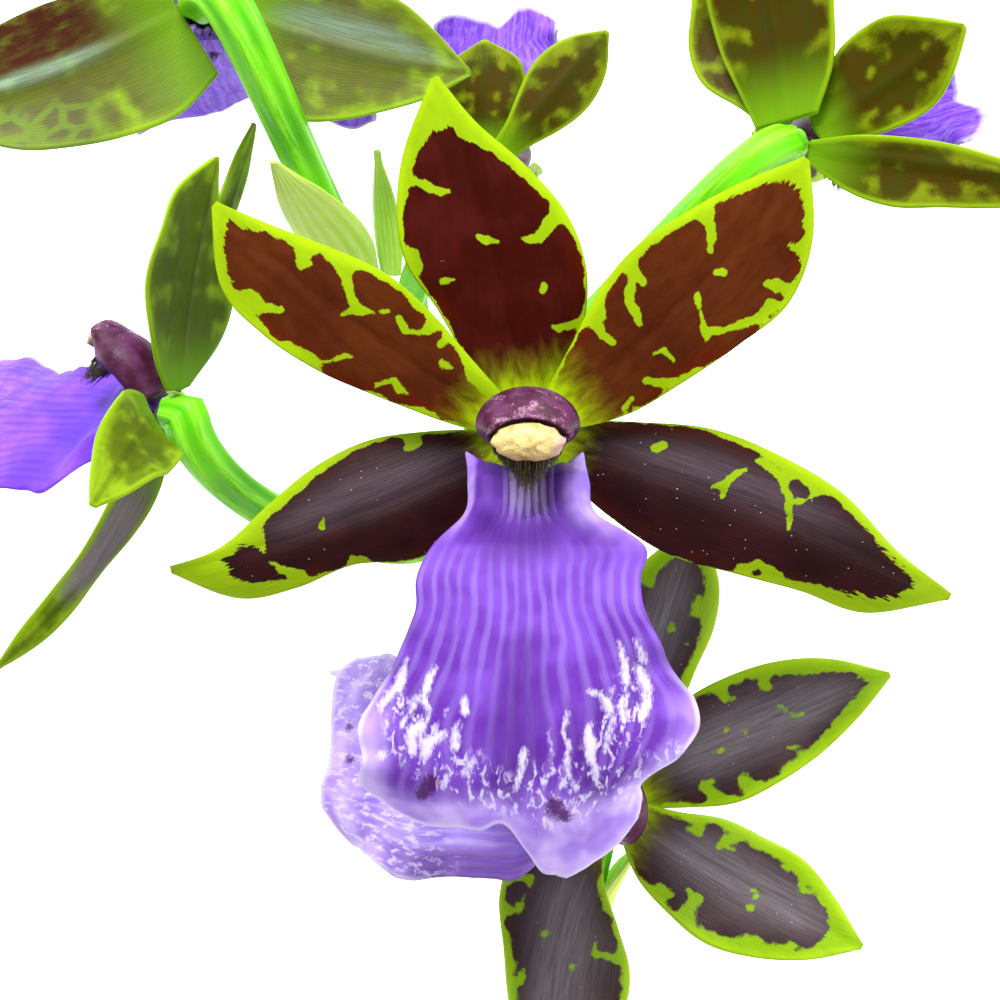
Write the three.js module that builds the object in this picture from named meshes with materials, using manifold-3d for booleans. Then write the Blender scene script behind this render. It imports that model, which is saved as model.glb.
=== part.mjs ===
// A cut flower spray of a zygopetalum orchid, lying on its back.
// Millimetres, +Z up. X runs to the right of the spray and Y towards its top.
// Every petal, sepal, lip and bract is a thin closed blade. The flower stem and
// its six ribbed flower stalks are one body, as they grow.

import * as THREE from 'three';
import { mergeVertices } from 'three/addons/utils/BufferGeometryUtils.js';
import Module from 'manifold-3d';

// ---------------------------------------------------------------- driving sizes

const BLADE_THICKNESS = 0.85;      // petals, sepals and bracts
const LIP_THICKNESS = 0.95;
const TIP_HALF_WIDTH = 0.35;       // a blade ends this wide, not in a knife point
const MIDRIB_STEPS = 48;           // straight pieces that a curved midrib is added up from

const STEM_RADIUS_LOW = 2.7;       // at the cut end
const STEM_RADIUS_TOP = 1.8;       // at the last flower
const STEM_SIDES = 10;
const STEM_STEPS = 30;
const STEM_TENSION = 0.5;
const STALK_SIDES = 12;
const STALK_STEPS = 9;
const STALK_RIBS = 6;
const RIB_DEPTH = 0.06;            // of the stalk's radius
const STALK_RADIUS_LOW = 1.5;
const STALK_SWELL = 0.7;           // power by which a stalk thickens towards the flower
const OVARY_RADIUS = 2.4;          // of a stalk just under the flower
const BRACT_OFFSET = 2.9;          // of a bract's foot from its stalk's middle line
const SEAT_DEPTH = 1.2;            // from the flower's centre back to the ovary's end
const SEAT_RADIUS = 2.0;           // knob that the petals stand round
const SEAT_HEIGHT = 1.2;           // of the knob above the flower's centre

// The spray's own middle, so that the part's origin is at the bottom centre of its box.
const MIDDLE = new THREE.Vector3(-6.05, 3.82, 0);

const COLOURS = {
  petal: 0x4a2018,
  sepal: 0x3f2220,
  lip: 0x7a45c8,
  column: 0x4b1a3c,
  cap: 0xefd9a0,
  stem: 0x5cae2c,
  bract: 0x9dbb52,
};

const ROUGHNESS = { petal: 0.5, lip: 0.55, column: 0.4, cap: 0.45, stem: 0.4, bract: 0.6 };

// ---------------------------------------------------------------- shapes of one flower
// A flower's own frame: +z is the way it faces and +y runs to its dorsal sepal.
// Half widths are at equal steps from base to tip, left and right of the way there.
// Angles are in degrees: `rise` lifts a blade to the front, `curl` bends its sides.

const DORSAL_SEPAL = {
  angle: 90, bend: 0, length: 34, start: 2.7, depth: 0,
  rise: [12, -14], curl: [-6, -14], twist: [0, 0], wave: 0.3,
  left: [2.2, 5.6, 7.8, 8.6, 7.6, 4.8, 0.3],
  right: [2.2, 5.6, 7.8, 8.6, 7.6, 4.8, 0.3],
};

const LEFT_PETAL = {
  angle: 138, bend: 6, length: 35, start: 3.0, depth: 1.6,
  rise: [18, -12], curl: [4, -18], twist: [0, 0], wave: 0.5,
  left: [1.9, 4.0, 5.8, 6.6, 6.2, 4.2, 0.3],
  right: [1.9, 4.2, 6.0, 6.4, 5.6, 3.4, 0.3],
};

const LEFT_SEPAL = {
  angle: 208, bend: -10, length: 36, start: 2.7, depth: 0,
  rise: [4, -20], curl: [-24, -24], twist: [0, 0], wave: 0.3,
  left: [2.2, 5.5, 6.6, 5.8, 5.0, 3.4, 0.3],
  right: [2.2, 5.5, 6.8, 6.6, 4.6, 2.0, 0.3],
};

/** The same blade on the other side of the flower. */
function mirrored(blade) {
  return { ...blade, angle: 180 - blade.angle, bend: -blade.bend, left: blade.right, right: blade.left };
}

const TEPALS = {
  dorsal_sepal: DORSAL_SEPAL,
  left_petal: LEFT_PETAL,
  right_petal: mirrored(LEFT_PETAL),
  left_sepal: LEFT_SEPAL,
  right_sepal: mirrored(LEFT_SEPAL),
};

// The lip hangs from the throat, or stands out from it by `lift`, and leans to one side
// by `roll`. `profile` is its height to the front and `left` and `right` its half widths,
// at equal steps down it. `reach` is how far down its lower edge comes, at equal steps
// from side to side, with the notch between its two lobes. `walls` is how far its sides
// run up beside the throat, from 0 to 1.
const LIP = {
  drop: 42, root: [0, -4.2, 3.4], throat: 0.05, walls: 0,
  angle: -90, lift: 0, roll: 0, curl: [12, -38],
  wave: 1.3, waves: 3.1, callus: 2.2, hump: 1,
  profile: [0, 3.1, 5.2, 6.2, 6.6, 6.0, 3.8, 0],
  left: [6.2, 5.8, 6.1, 9.3, 10.8, 10.9, 12.1, 13.5, 15.3, 16.9, 16.6, 17.2, 16.6, 15, 13],
  right: [5.6, 6.0, 6.6, 11.4, 11.0, 11.3, 12.8, 14.3, 16.5, 17.0, 15.0, 11.7, 11.8, 11.2, 9],
  reach: [0.80, 0.87, 0.89, 0.89, 0.88, 0.88, 0.86, 0.93, 0.98, 0.99, 1, 0.99, 0.97, 0.95, 0.91],
};

// The column arches forward over the throat, hooded above and hollow below.
const COLUMN = {
  length: 10.5, root: [0, -0.9, 2.5], rise: [60, 112],
  half: [2.2, 3.2, 4.3, 4.9, 5.1, 4.9, 4.1],
  top: [1.8, 2.5, 3.1, 3.6, 3.8, 3.4, 2.4],
  low: [1.4, 1.3, 1.3, 1.5, 1.9, 2.4, 2.2],
  cap: [3.5, 1.9, 1.5],
};

const ANTHER_CAP = { gap: 0.35, lower: 0.2, around: 10, rows: 6 };

const BRACT_GRID = [7, 4];         // steps along it and across it

const BRACT = {
  angle: 0, bend: 0, length: 16, start: 0, depth: 0,
  rise: [2, 12], curl: [-70, -30], twist: [0, 0], wave: 0,
  left: [2.4, 3.2, 3.3, 2.9, 2.2, 1.2, 0.2],
  right: [2.4, 3.2, 3.3, 2.9, 2.2, 1.2, 0.2],
};

/** A list of half widths made wider or narrower. */
function wider(factor, widths) {
  return widths.map((width) => width * factor);
}

// ---------------------------------------------------------------- the spray

// Middle line of the flower stem, from its cut end to the last flower.
const STEM_LINE = [
  [7.6, -80, 2.1], [8.4, -66, 2.0], [8.2, -52, 1.9], [6.9, -38, 1.85], [3.5, -23, 2.4],
  [1.4, -8, 4.5], [-0.9, 5.7, 7], [-6.8, 16.9, 10.5], [-14.3, 23.2, 14],
];

const EVEN_SEPAL = [1.6, 3.2, 5.4, 6.4, 5.6, 3.6, 0.3];
const NARROW_SEPAL = [2.2, 4.0, 4.4, 4.2, 3.4, 2.2, 0.3];
const SLIM_SEPAL = [1.8, 2.6, 3.0, 2.8, 2.3, 1.5, 0.3];

// Each flower: where it is, the way it faces, the way to its dorsal sepal, its size,
// how its blades differ from the common ones, and the stalk and bract that it has.
// A stalk leaves the stem at `from` (0 at the cut end, 1 at the top) the way `leave` says
// and comes to the back of the flower the way `arrive` says, or straight. A bract stands
// `along` millimetres up the stalk on its `side`, or at `foot`, and points to `heading`.
const FLOWERS = [
  {
    name: 'front', centre: [2.7, 6.6, 48], facing: [0, 0, 1], top: [0, 1, 0],
    scale: 1, grid: [10, 6], lipGrid: [14, 12], columnGrid: [8, 14],
    blades: {
      dorsal_sepal: {
        angle: 99, bend: 12, length: 34.7, rise: [18, -16], curl: [-4, -20],
        left: [2.4, 4.7, 6.5, 8.5, 7.8, 5.2, 0.3], right: [2.6, 6.8, 8.8, 8.4, 5.8, 2.3, 0.3],
      },
      left_petal: {
        angle: 151, bend: -15.6, length: 36.1, rise: [20, -14],
        left: [1.9, 3.3, 4.6, 5.9, 6.4, 5.5, 0.3], right: [1.9, 3.7, 5.3, 5.8, 4.5, 2.4, 0.3],
      },
      right_petal: {
        angle: 36.2, bend: 18, length: 36.5, rise: [20, -14],
        left: [1.9, 4.3, 6.6, 7.2, 5.9, 3.7, 0.3], right: [1.9, 4.5, 5.7, 6.8, 7.6, 5.4, 0.3],
      },
      left_sepal: {
        angle: 209, bend: -18, length: 36.8,
        left: [2.2, 5.2, 6.4, 4.6, 5.0, 4.4, 0.3], right: [2.2, 5.0, 6.7, 6.3, 4.2, 1.2, 0.3],
      },
      right_sepal: {
        angle: -15.5, bend: -11.5, length: 44.4,
        left: [2.2, 4.3, 6.1, 6.0, 4.8, 1.8, 0.3], right: [2.2, 5.6, 7.5, 7.0, 6.1, 5.4, 0.3],
      },
    },
    lip: { walls: 1 },
    stalk: { from: 0.65, leave: [0.1, 0.3, 1], out: 14, back: 16 },
    bract: { along: 6, side: [0, -1, 0] },
  },
  {
    name: 'left', centre: [-33.5, 9.0, 38], facing: [-0.88, 0.16, -0.42], top: [0.16, 0.97, 0.2],
    scale: 0.95, grid: [8, 4], lipGrid: [10, 8], columnGrid: [6, 12],
    blades: {
      dorsal_sepal: {
        angle: 87, bend: 12, length: 25.5, rise: [2, -10],
        left: [2.2, 7.4, 8.6, 7.2, 4.8, 2.2, 0.3], right: [2.2, 5.6, 7.8, 8.8, 8.6, 7.2, 0.3],
      },
      left_petal: {
        angle: 118, bend: -2, length: 32, rise: [6, -2],
        left: [1.9, 3.2, 4.0, 3.6, 2.6, 1.6, 0.3], right: [1.9, 3.2, 4.0, 3.6, 2.6, 1.6, 0.3],
      },
      right_petal: {
        angle: -2, bend: -38, length: 21, rise: [-30, -2], curl: [-20, -30], twist: [30, 60], wave: 0.8,
        left: NARROW_SEPAL, right: wider(1.2, NARROW_SEPAL),
      },
      left_sepal: {
        angle: 200, length: 30, start: 3.6, depth: 1.4, rise: [50, 66],
        left: NARROW_SEPAL, right: NARROW_SEPAL,
      },
      right_sepal: {
        angle: -88, bend: 8, length: 33, start: 3.6, depth: 1.9, rise: [20, 42], twist: [20, 60],
        left: [1.8, 2.6, 2.4, 1.8, 1.7, 1.4, 0.3], right: [1.8, 2.6, 2.4, 1.8, 1.7, 1.4, 0.3],
      },
    },
    lip: { lift: 80, roll: 32, hump: 0.2, root: [0, -2.6, 3.4] },
    column: {
      length: 8, root: [0, 0.9, 3.4], rise: [30, 60], cap: [2.6, 1.3, 0.9],
      half: [2.2, 2.9, 3.5, 3.8, 3.9, 3.5, 2.7], top: [1.8, 2.2, 2.6, 2.9, 2.9, 2.5, 1.8],
    },
    stalk: { from: 0.66, leave: [-0.95, -0.2, 0.27], out: 21.5, arrive: [-0.15, 0.97, 0.1], back: 8 },
    bract: { along: 7, side: [0, 0.4, -1] },
  },
  {
    name: 'lower', centre: [11.3, -32.4, 24], facing: [0, 0.04, 1], top: [0.914, 0.407, 0],
    scale: 0.93, grid: [8, 4], lipGrid: [10, 8], columnGrid: [6, 12],
    blades: {
      dorsal_sepal: {
        length: 33.5, rise: [14, -4], curl: [4, 10],
        left: [2.2, 5.0, 7.0, 7.4, 6.7, 4.5, 0.3], right: [2.2, 4.5, 6.3, 6.1, 5.1, 3.1, 0.3],
      },
      left_petal: {
        angle: 137, bend: 2, length: 31, rise: [24, -8],
        left: [1.9, 4.2, 6.0, 7.0, 6.4, 4.2, 0.3], right: [1.9, 3.6, 4.5, 4.9, 5.4, 4.3, 0.3],
      },
      right_petal: {
        angle: 34, bend: 6, length: 31, rise: [24, -4], curl: [20, 10],
        left: [1.9, 3.4, 5.5, 5.9, 5.8, 3.6, 0.3], right: [1.9, 5.6, 7.2, 7.9, 6.7, 4.2, 0.3],
      },
      left_sepal: { angle: 180, bend: 2, length: 27, rise: [-10, -20] },
      right_sepal: {
        angle: -50, bend: 30, length: 34,
        left: [2.2, 3.6, 7.2, 9.9, 9.9, 6.6, 0.3], right: [2.2, 7.0, 7.4, 5.4, 3.9, 2.2, 0.3],
      },
    },
    lip: {
      angle: -121, drop: 32,
      left: [5.2, 4.9, 5.1, 7.8, 9.1, 9.2, 10.2, 11.3, 12.9, 14.2, 13.9, 14.4, 14.2, 14.0, 13.5],
      right: [3.6, 4.4, 7.5, 9.8, 9.9, 10, 10.2, 10.8, 11.4, 11.2, 9.9, 9.2, 8.8, 8, 7],
      reach: [0.98, 1, 0.99, 0.97, 0.95, 0.93, 0.92, 0.92, 0.93, 0.94, 0.94, 0.94, 0.92, 0.9, 0.86],
    },
    stalk: { from: 0.26, leave: [0.3, 0.8, 0.9], out: 8, back: 9 },
    bract: { along: 6, side: [1, 0, 0.4], length: 12 },
  },
  {
    name: 'upper_left', centre: [-30.5, 51.5, 40], facing: [0, 0.1, -1], top: [0, 1, 0.1],
    scale: 1, grid: [8, 4], lipGrid: [10, 8], columnGrid: [6, 12],
    blades: {
      left_sepal: {
        angle: 203, bend: -18, length: 25, start: 3.6, depth: 2.4, rise: [0, 6], curl: [-20, -20],
        left: [2.2, 6.8, 8.4, 7.4, 5.4, 3.2, 0.3], right: [2.2, 5.5, 6.8, 7.0, 6.2, 3.8, 0.3],
      },
      right_sepal: {
        angle: -32, bend: 26, length: 30, rise: [0, 6], curl: [-20, -20],
        left: [2.2, 5.5, 6.8, 7.0, 6.2, 3.8, 0.3], right: [7.6, 9.2, 8.8, 7.8, 6.4, 3.6, 0.3],
      },
    },
    lip: { lift: 80, drop: 37.5, hump: 0.2 },
    stalk: {
      from: 0.985, leave: [-0.3, 0.37, 0.89], out: 26, arrive: [-0.2, -0.12, -0.97], back: 21,
      ovary: 2.6,
    },
    bract: {
      along: 8, side: [0, -0.8, 0.5], length: 27, rise: [0, 4],
      left: wider(1.3, BRACT.left), right: wider(1.3, BRACT.right),
    },
  },
  {
    name: 'upper_middle', centre: [-1.3, 35.1, 31], facing: [0.1, 0.35, -0.93], top: [0, -0.93, -0.35],
    scale: 0.78, grid: [8, 4], lipGrid: [10, 8], columnGrid: [6, 12],
    blades: {
      dorsal_sepal: { rise: [16, 40], length: 28, left: EVEN_SEPAL, right: EVEN_SEPAL },
      left_petal: {
        angle: 130, bend: 0, rise: [70, 84], length: 26, start: 3.6,
        left: NARROW_SEPAL, right: NARROW_SEPAL,
      },
      right_petal: {
        angle: 56, bend: 0, rise: [78, 92], length: 24, start: 4.8,
        left: SLIM_SEPAL, right: SLIM_SEPAL,
      },
      left_sepal: {
        angle: 266, bend: 0, length: 14.4, depth: 1.4, rise: [14, 30], curl: [10, 20],
        left: [1.6, 3.2, 4.8, 5.6, 5.4, 4.4, 0.3], right: [1.6, 3.2, 5.4, 6.4, 6.0, 4.6, 0.3],
      },
      right_sepal: {
        angle: -50, bend: 4, length: 22, rise: [10, 30], curl: [10, 20],
        left: [1.6, 2.6, 4.0, 4.9, 4.8, 3.4, 0.3], right: [1.6, 2.2, 3.4, 4.4, 4.5, 3.1, 0.3],
      },
    },
    lip: {
      angle: -85, lift: 42, drop: 21, hump: 0.3,
      left: wider(0.62, LIP.left), right: wider(0.62, LIP.right),
    },
    stalk: { from: 0.93, leave: [0, 0.35, 0.94], out: 18, back: 8 },
    bract: {
      foot: [-12.0, 24.6, 19.0], side: [-0.2, 0, 1], heading: [-0.06, 1, 0.45], length: 15,
      left: wider(0.5, BRACT.left), right: wider(0.5, BRACT.right),
    },
  },
  {
    name: 'upper_right', centre: [30.7, 37.5, 31], facing: [0.6, 0.12, -0.79], top: [-0.05, 1, 0.1],
    scale: 0.92, grid: [8, 4], lipGrid: [10, 8], columnGrid: [6, 12],
    blades: {
      dorsal_sepal: {
        length: 31, angle: 80,
        left: [4.4, 7.2, 8.6, 9.2, 7.8, 4.8, 0.3], right: [4.0, 5.8, 7.4, 8.0, 7.2, 4.6, 0.3],
      },
      left_petal: {
        length: 22, bend: 0, angle: 151,
        left: [2.6, 3.4, 4.6, 5.2, 4.9, 3.4, 0.3], right: [2.6, 4.8, 6.8, 7.2, 6.2, 3.6, 0.3],
      },
      right_petal: {
        length: 28, angle: 52, bend: 14, twist: [20, 66], rise: [20, 0],
        left: NARROW_SEPAL, right: [1.6, 3.6, 6.4, 6.4, 4.4, 2.6, 0.3],
      },
      left_sepal: {
        angle: 190, bend: 0, length: 34, rise: [4, 10],
        left: wider(0.8, LEFT_SEPAL.left), right: wider(0.4, LEFT_SEPAL.right),
      },
      right_sepal: {
        angle: -4, rise: [80, 90], length: 36.2, start: 4.4, left: NARROW_SEPAL, right: NARROW_SEPAL,
      },
    },
    lip: {
      angle: -193, lift: 50, drop: 17, hump: 0.4, curl: [12, -60], root: [0, -6.4, 3.8],
      left: wider(0.42, LIP.left), right: wider(0.42, LIP.right),
    },
    stalk: { from: 0.78, leave: [0.8, 0.6, 0.6], out: 16, back: 9 },
    bract: { along: 7, side: [0.3, -1, 0.3] },
  },
];

// ---------------------------------------------------------------- small tools

/** A smooth value between equally spaced ones, at u from 0 to 1. */
function through(values, u) {
  const last = values.length - 1;
  const at = Math.min(Math.max(u, 0), 1) * last;
  const index = Math.min(Math.floor(at), last - 1);
  const t = at - index;
  const p1 = values[index];
  const p2 = values[index + 1];
  const p0 = index > 0 ? values[index - 1] : 2 * p1 - p2;
  const p3 = index + 2 <= last ? values[index + 2] : 2 * p2 - p1;
  return 0.5 * (2 * p1 + (p2 - p0) * t + (2 * p0 - 5 * p1 + 4 * p2 - p3) * t * t
    + (3 * p1 - p0 - 3 * p2 + p3) * t * t * t);
}

/** A number that goes evenly from the first of a pair to the second. */
function between(pair, u) {
  return pair[0] + (pair[1] - pair[0]) * u;
}

function clamp01(value) {
  return Math.min(Math.max(value, 0), 1);
}

const radians = THREE.MathUtils.degToRad;

/** How far sideways and up a strip of half width w goes when its side bends by `bend`. */
function bentSide(halfWidth, bend, v) {
  const safe = Math.abs(bend) < 1e-3 ? 1e-3 : bend;
  const turned = safe * Math.abs(v);
  return [Math.sign(v) * halfWidth * Math.sin(turned) / safe, halfWidth * (1 - Math.cos(turned)) / safe];
}

/** A closed mesh from rows of points, wound so that its faces point outward. */
function closedGeometry(points, triangles) {
  const position = new Float32Array(points.length * 3);
  points.forEach((point, index) => point.toArray(position, index * 3));
  let volume = 0;
  for (const [a, b, c] of triangles) {
    volume += points[a].dot(new THREE.Vector3().crossVectors(points[b], points[c]));
  }
  const wound = volume < 0 ? triangles.map(([a, b, c]) => [a, c, b]) : triangles;
  const geometry = new THREE.BufferGeometry();
  geometry.setAttribute('position', new THREE.BufferAttribute(position, 3));
  geometry.setIndex(wound.flat());
  geometry.computeVertexNormals();
  return geometry;
}

/** A thin closed blade on both sides of a surface given by place(u, v). */
function bladeGeometry(place, steps, across, thickness) {
  const sides = [[], []];
  const tiny = 1e-3;
  for (let i = 0; i <= steps; i += 1) {
    for (let j = 0; j <= across; j += 1) {
      const u = i / steps;
      const v = -1 + 2 * j / across;
      const middle = place(u, v);
      const along = place(Math.min(u + tiny, 1), v).sub(place(Math.max(u - tiny, 0), v));
      const over = place(u, Math.min(v + tiny, 1)).sub(place(u, Math.max(v - tiny, -1)));
      const normal = along.cross(over).normalize().multiplyScalar(thickness / 2);
      sides[0].push(middle.clone().add(normal));
      sides[1].push(middle.clone().sub(normal));
    }
  }
  const row = across + 1;
  const back = sides[0].length;
  const triangles = [];
  for (let i = 0; i < steps; i += 1) {
    for (let j = 0; j < across; j += 1) {
      const a = i * row + j;
      const corners = [a, a + row, a + row + 1, a + 1];
      // the diagonal leans the same way on both faces, and outward on both halves
      const turned = j >= across / 2 ? [corners[1], corners[2], corners[3], corners[0]] : corners;
      const [p, q, r, s] = turned;
      triangles.push([p, q, r], [p, r, s]);
      triangles.push([back + p, back + r, back + q], [back + p, back + s, back + r]);
    }
  }
  const rim = [];
  for (let j = 0; j <= across; j += 1) rim.push(j);
  for (let i = 1; i <= steps; i += 1) rim.push(i * row + across);
  for (let j = across - 1; j >= 0; j -= 1) rim.push(steps * row + j);
  for (let i = steps - 1; i > 0; i -= 1) rim.push(i * row);
  rim.forEach((a, index) => {
    const b = rim[(index + 1) % rim.length];
    triangles.push([a, b, back + b], [a, back + b, back + a]);
  });
  return closedGeometry([...sides[0], ...sides[1]], triangles);
}

/** A closed solid through rings of points, with a flat fan at each end. */
function ringsGeometry(rings) {
  const sides = rings[0].length;
  const points = rings.flat();
  const triangles = [];
  for (let i = 0; i + 1 < rings.length; i += 1) {
    for (let j = 0; j < sides; j += 1) {
      const a = i * sides + j;
      const b = i * sides + (j + 1) % sides;
      triangles.push([a, b, b + sides], [a, b + sides, a + sides]);
    }
  }
  for (const end of [0, rings.length - 1]) {
    const middle = new THREE.Vector3();
    rings[end].forEach((point) => middle.addScaledVector(point, 1 / sides));
    const centre = points.push(middle) - 1;
    for (let j = 0; j < sides; j += 1) {
      const a = end * sides + j;
      const b = end * sides + (j + 1) % sides;
      triangles.push(end === 0 ? [centre, b, a] : [centre, a, b]);
    }
  }
  return closedGeometry(points, triangles);
}

// ---------------------------------------------------------------- petals, sepals, bracts

/** The direction of a blade's midrib at u, and the axes across and out of it. */
function bladeAxes(blade, u) {
  const heading = radians(blade.angle + blade.bend * u);
  const rise = radians(between(blade.rise, u));
  const turn = radians(between(blade.twist, u));
  const along = new THREE.Vector3(
    Math.cos(rise) * Math.cos(heading),
    Math.cos(rise) * Math.sin(heading),
    Math.sin(rise),
  );
  const level = new THREE.Vector3(-Math.sin(heading), Math.cos(heading), 0);
  const out = new THREE.Vector3().crossVectors(along, level);
  const across = level.clone().multiplyScalar(Math.cos(turn)).addScaledVector(out, Math.sin(turn));
  out.multiplyScalar(Math.cos(turn)).addScaledVector(level, -Math.sin(turn));
  return { along, across, out };
}

/** Points of a blade's midrib, added up step by step from its base. */
function midribPoints(blade) {
  const first = radians(blade.angle);
  const base = new THREE.Vector3(Math.cos(first), Math.sin(first), 0).multiplyScalar(blade.start);
  const points = [base.setZ(blade.depth)];
  for (let step = 0; step < MIDRIB_STEPS; step += 1) {
    const { along } = bladeAxes(blade, (step + 0.5) / MIDRIB_STEPS);
    points.push(points[step].clone().addScaledVector(along, blade.length / MIDRIB_STEPS));
  }
  return points;
}

/** place(u, v) for a blade: u from base to tip, v from its right edge to its left. */
function bladeSurface(blade) {
  const midrib = midribPoints(blade);
  return (u, v) => {
    const at = u * MIDRIB_STEPS;
    const index = Math.min(Math.floor(at), MIDRIB_STEPS - 1);
    const point = midrib[index].clone().lerp(midrib[index + 1], at - index);
    const { across, out } = bladeAxes(blade, u);
    const width = Math.max(through(v >= 0 ? blade.left : blade.right, u), TIP_HALF_WIDTH);
    const [sideways, up] = bentSide(width, radians(between(blade.curl, u)), v);
    const swing = Math.sin(4 * Math.PI * u + (v > 0 ? 0 : 2)) * Math.sin(Math.PI * u);
    const ripple = blade.wave * v * v * swing;
    return point.addScaledVector(across, sideways).addScaledVector(out, up + ripple);
  };
}

// ---------------------------------------------------------------- lip

/** Height of the horseshoe callus that stands round the throat. */
function callusHeight(lip, down, v) {
  const band = clamp01((down - 0.03) / 0.05) * clamp01((0.2 - down) / 0.05);
  const wall = 0.35 + 0.65 * clamp01(Math.abs(v) / 0.6) ** 2;
  return lip.callus * band * wall * clamp01((1 - Math.abs(v)) / 0.25);
}

/** Height of the frilled margin's waves. */
function frillHeight(lip, down, v) {
  const beat = v > 0 ? lip.waves * down + 0.1 : 0.8 * lip.waves * down + 0.45;
  return lip.wave * Math.abs(v) ** 3 * Math.sin(2 * Math.PI * beat) * clamp01((down - 0.2) / 0.3);
}

/** place(u, v) for a lip: u from the throat to its lower edge, v across it. */
function lipSurface(lip) {
  const hinge = new THREE.Vector3(1, 0, 0);
  const spine = new THREE.Vector3(0, 1, 0);
  const axis = new THREE.Vector3(0, 0, 1);
  return (u, v) => {
    const reach = through(lip.reach, (v + 1) / 2);
    const start = lip.throat * (1 - lip.walls * v * v);
    const down = start + u * (reach - start);
    const height = lip.hump * through(lip.profile, down);
    const tiny = 1e-3;
    const climb = through(lip.profile, down + tiny) - through(lip.profile, down - tiny);
    const slope = lip.hump * climb / (2 * tiny * lip.drop);
    const out = new THREE.Vector3(0, slope, 1).normalize();
    const width = through(v >= 0 ? lip.right : lip.left, down);
    const [sideways, up] = bentSide(width, radians(between(lip.curl, down)), v);
    return new THREE.Vector3(sideways, -(down - lip.throat) * lip.drop, height)
      .addScaledVector(out, up + frillHeight(lip, down, v) + callusHeight(lip, down, v))
      .applyAxisAngle(spine, radians(lip.roll))
      .applyAxisAngle(hinge, radians(-lip.lift))
      .add(new THREE.Vector3(...lip.root))
      .applyAxisAngle(axis, radians(lip.angle + 90));
  };
}

// ---------------------------------------------------------------- column and anther cap

/** Points and directions of the column's arched middle line, at u from 0 to 1. */
function columnAxis(column, u) {
  const point = new THREE.Vector3(...column.root);
  const whole = MIDRIB_STEPS * u;
  for (let step = 0; step < whole; step += 1) {
    const rise = radians(between(column.rise, (step + 0.5) / MIDRIB_STEPS));
    const part = Math.min(whole - step, 1) * column.length / MIDRIB_STEPS;
    point.add(new THREE.Vector3(0, Math.cos(rise) * part, Math.sin(rise) * part));
  }
  const rise = radians(between(column.rise, u));
  return {
    point,
    along: new THREE.Vector3(0, Math.cos(rise), Math.sin(rise)),
    top: new THREE.Vector3(0, Math.sin(rise), -Math.cos(rise)),
  };
}

function columnGeometry(column, steps, sides) {
  const rings = [];
  for (let i = 0; i <= steps; i += 1) {
    const u = i / steps;
    const { point, top } = columnAxis(column, u);
    const ring = [];
    for (let j = 0; j < sides; j += 1) {
      const turn = 2 * Math.PI * j / sides;
      const height = through(Math.sin(turn) > 0 ? column.top : column.low, u) * Math.sin(turn);
      const sideways = through(column.half, u) * Math.cos(turn);
      ring.push(point.clone().addScaledVector(top, height).setX(sideways));
    }
    rings.push(ring);
  }
  return ringsGeometry(rings);
}

/** The cap that closes the column's end, as a flattened bead. */
function antherCap(column) {
  const { point, along, top } = columnAxis(column, 1);
  const [halfWidth, halfHeight, halfDepth] = column.cap;
  const bead = new THREE.SphereGeometry(1, ANTHER_CAP.around, ANTHER_CAP.rows);
  bead.deleteAttribute('normal');
  bead.deleteAttribute('uv');
  const geometry = mergeVertices(bead);
  const side = new THREE.Vector3().crossVectors(top, along);
  const shape = new THREE.Matrix4().makeBasis(
    side.multiplyScalar(halfWidth),
    top.clone().multiplyScalar(halfHeight),
    along.clone().multiplyScalar(-halfDepth),
  );
  point.addScaledVector(along, halfDepth + ANTHER_CAP.gap).addScaledVector(top, -ANTHER_CAP.lower);
  shape.setPosition(point);
  geometry.applyMatrix4(shape);
  const triangles = [];
  const index = geometry.index.array;
  for (let at = 0; at < index.length; at += 3) triangles.push([index[at], index[at + 1], index[at + 2]]);
  const points = [];
  const position = geometry.attributes.position;
  for (let at = 0; at < position.count; at += 1) {
    points.push(new THREE.Vector3().fromBufferAttribute(position, at));
  }
  const solid = triangles.filter(([a, b, c]) => a !== b && b !== c && c !== a);
  return closedGeometry(points, solid);
}

// ---------------------------------------------------------------- stem and stalks

const stemPoints = STEM_LINE.map((point) => new THREE.Vector3(...point));
const stemCurve = new THREE.CatmullRomCurve3(stemPoints, false, 'catmullrom', STEM_TENSION);

/** Rings of a round or ribbed rod along points, with a radius for each. */
function rodRings(points, radii, sides, ribs) {
  const rings = [];
  let across = null;
  points.forEach((point, i) => {
    const next = points[Math.min(i + 1, points.length - 1)];
    const along = next.clone().sub(points[Math.max(i - 1, 0)]).normalize();
    const upward = Math.abs(along.z) < 0.9 ? new THREE.Vector3(0, 0, 1) : new THREE.Vector3(0, 1, 0);
    const guide = across ?? upward;
    across = guide.clone().addScaledVector(along, -along.dot(guide)).normalize();
    const other = new THREE.Vector3().crossVectors(along, across);
    const ring = [];
    for (let j = 0; j < sides; j += 1) {
      const turn = 2 * Math.PI * j / sides;
      const radius = radii[i] * (1 + (ribs ? RIB_DEPTH * Math.cos(ribs * turn) : 0));
      ring.push(point.clone()
        .addScaledVector(across, radius * Math.cos(turn))
        .addScaledVector(other, radius * Math.sin(turn)));
    }
    rings.push(ring);
  });
  return rings;
}

/** The main stem. Its underside is pressed flat where it lies on the surface. */
function stemRings() {
  const points = [];
  const radii = [];
  for (let i = 0; i <= STEM_STEPS; i += 1) {
    const u = i / STEM_STEPS;
    points.push(stemCurve.getPoint(u));
    radii.push(between([STEM_RADIUS_LOW, STEM_RADIUS_TOP], u));
  }
  const rings = rodRings(points, radii, STEM_SIDES, 0);
  rings.flat().forEach((point) => point.setZ(Math.max(point.z, 0)));
  return rings;
}

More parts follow.
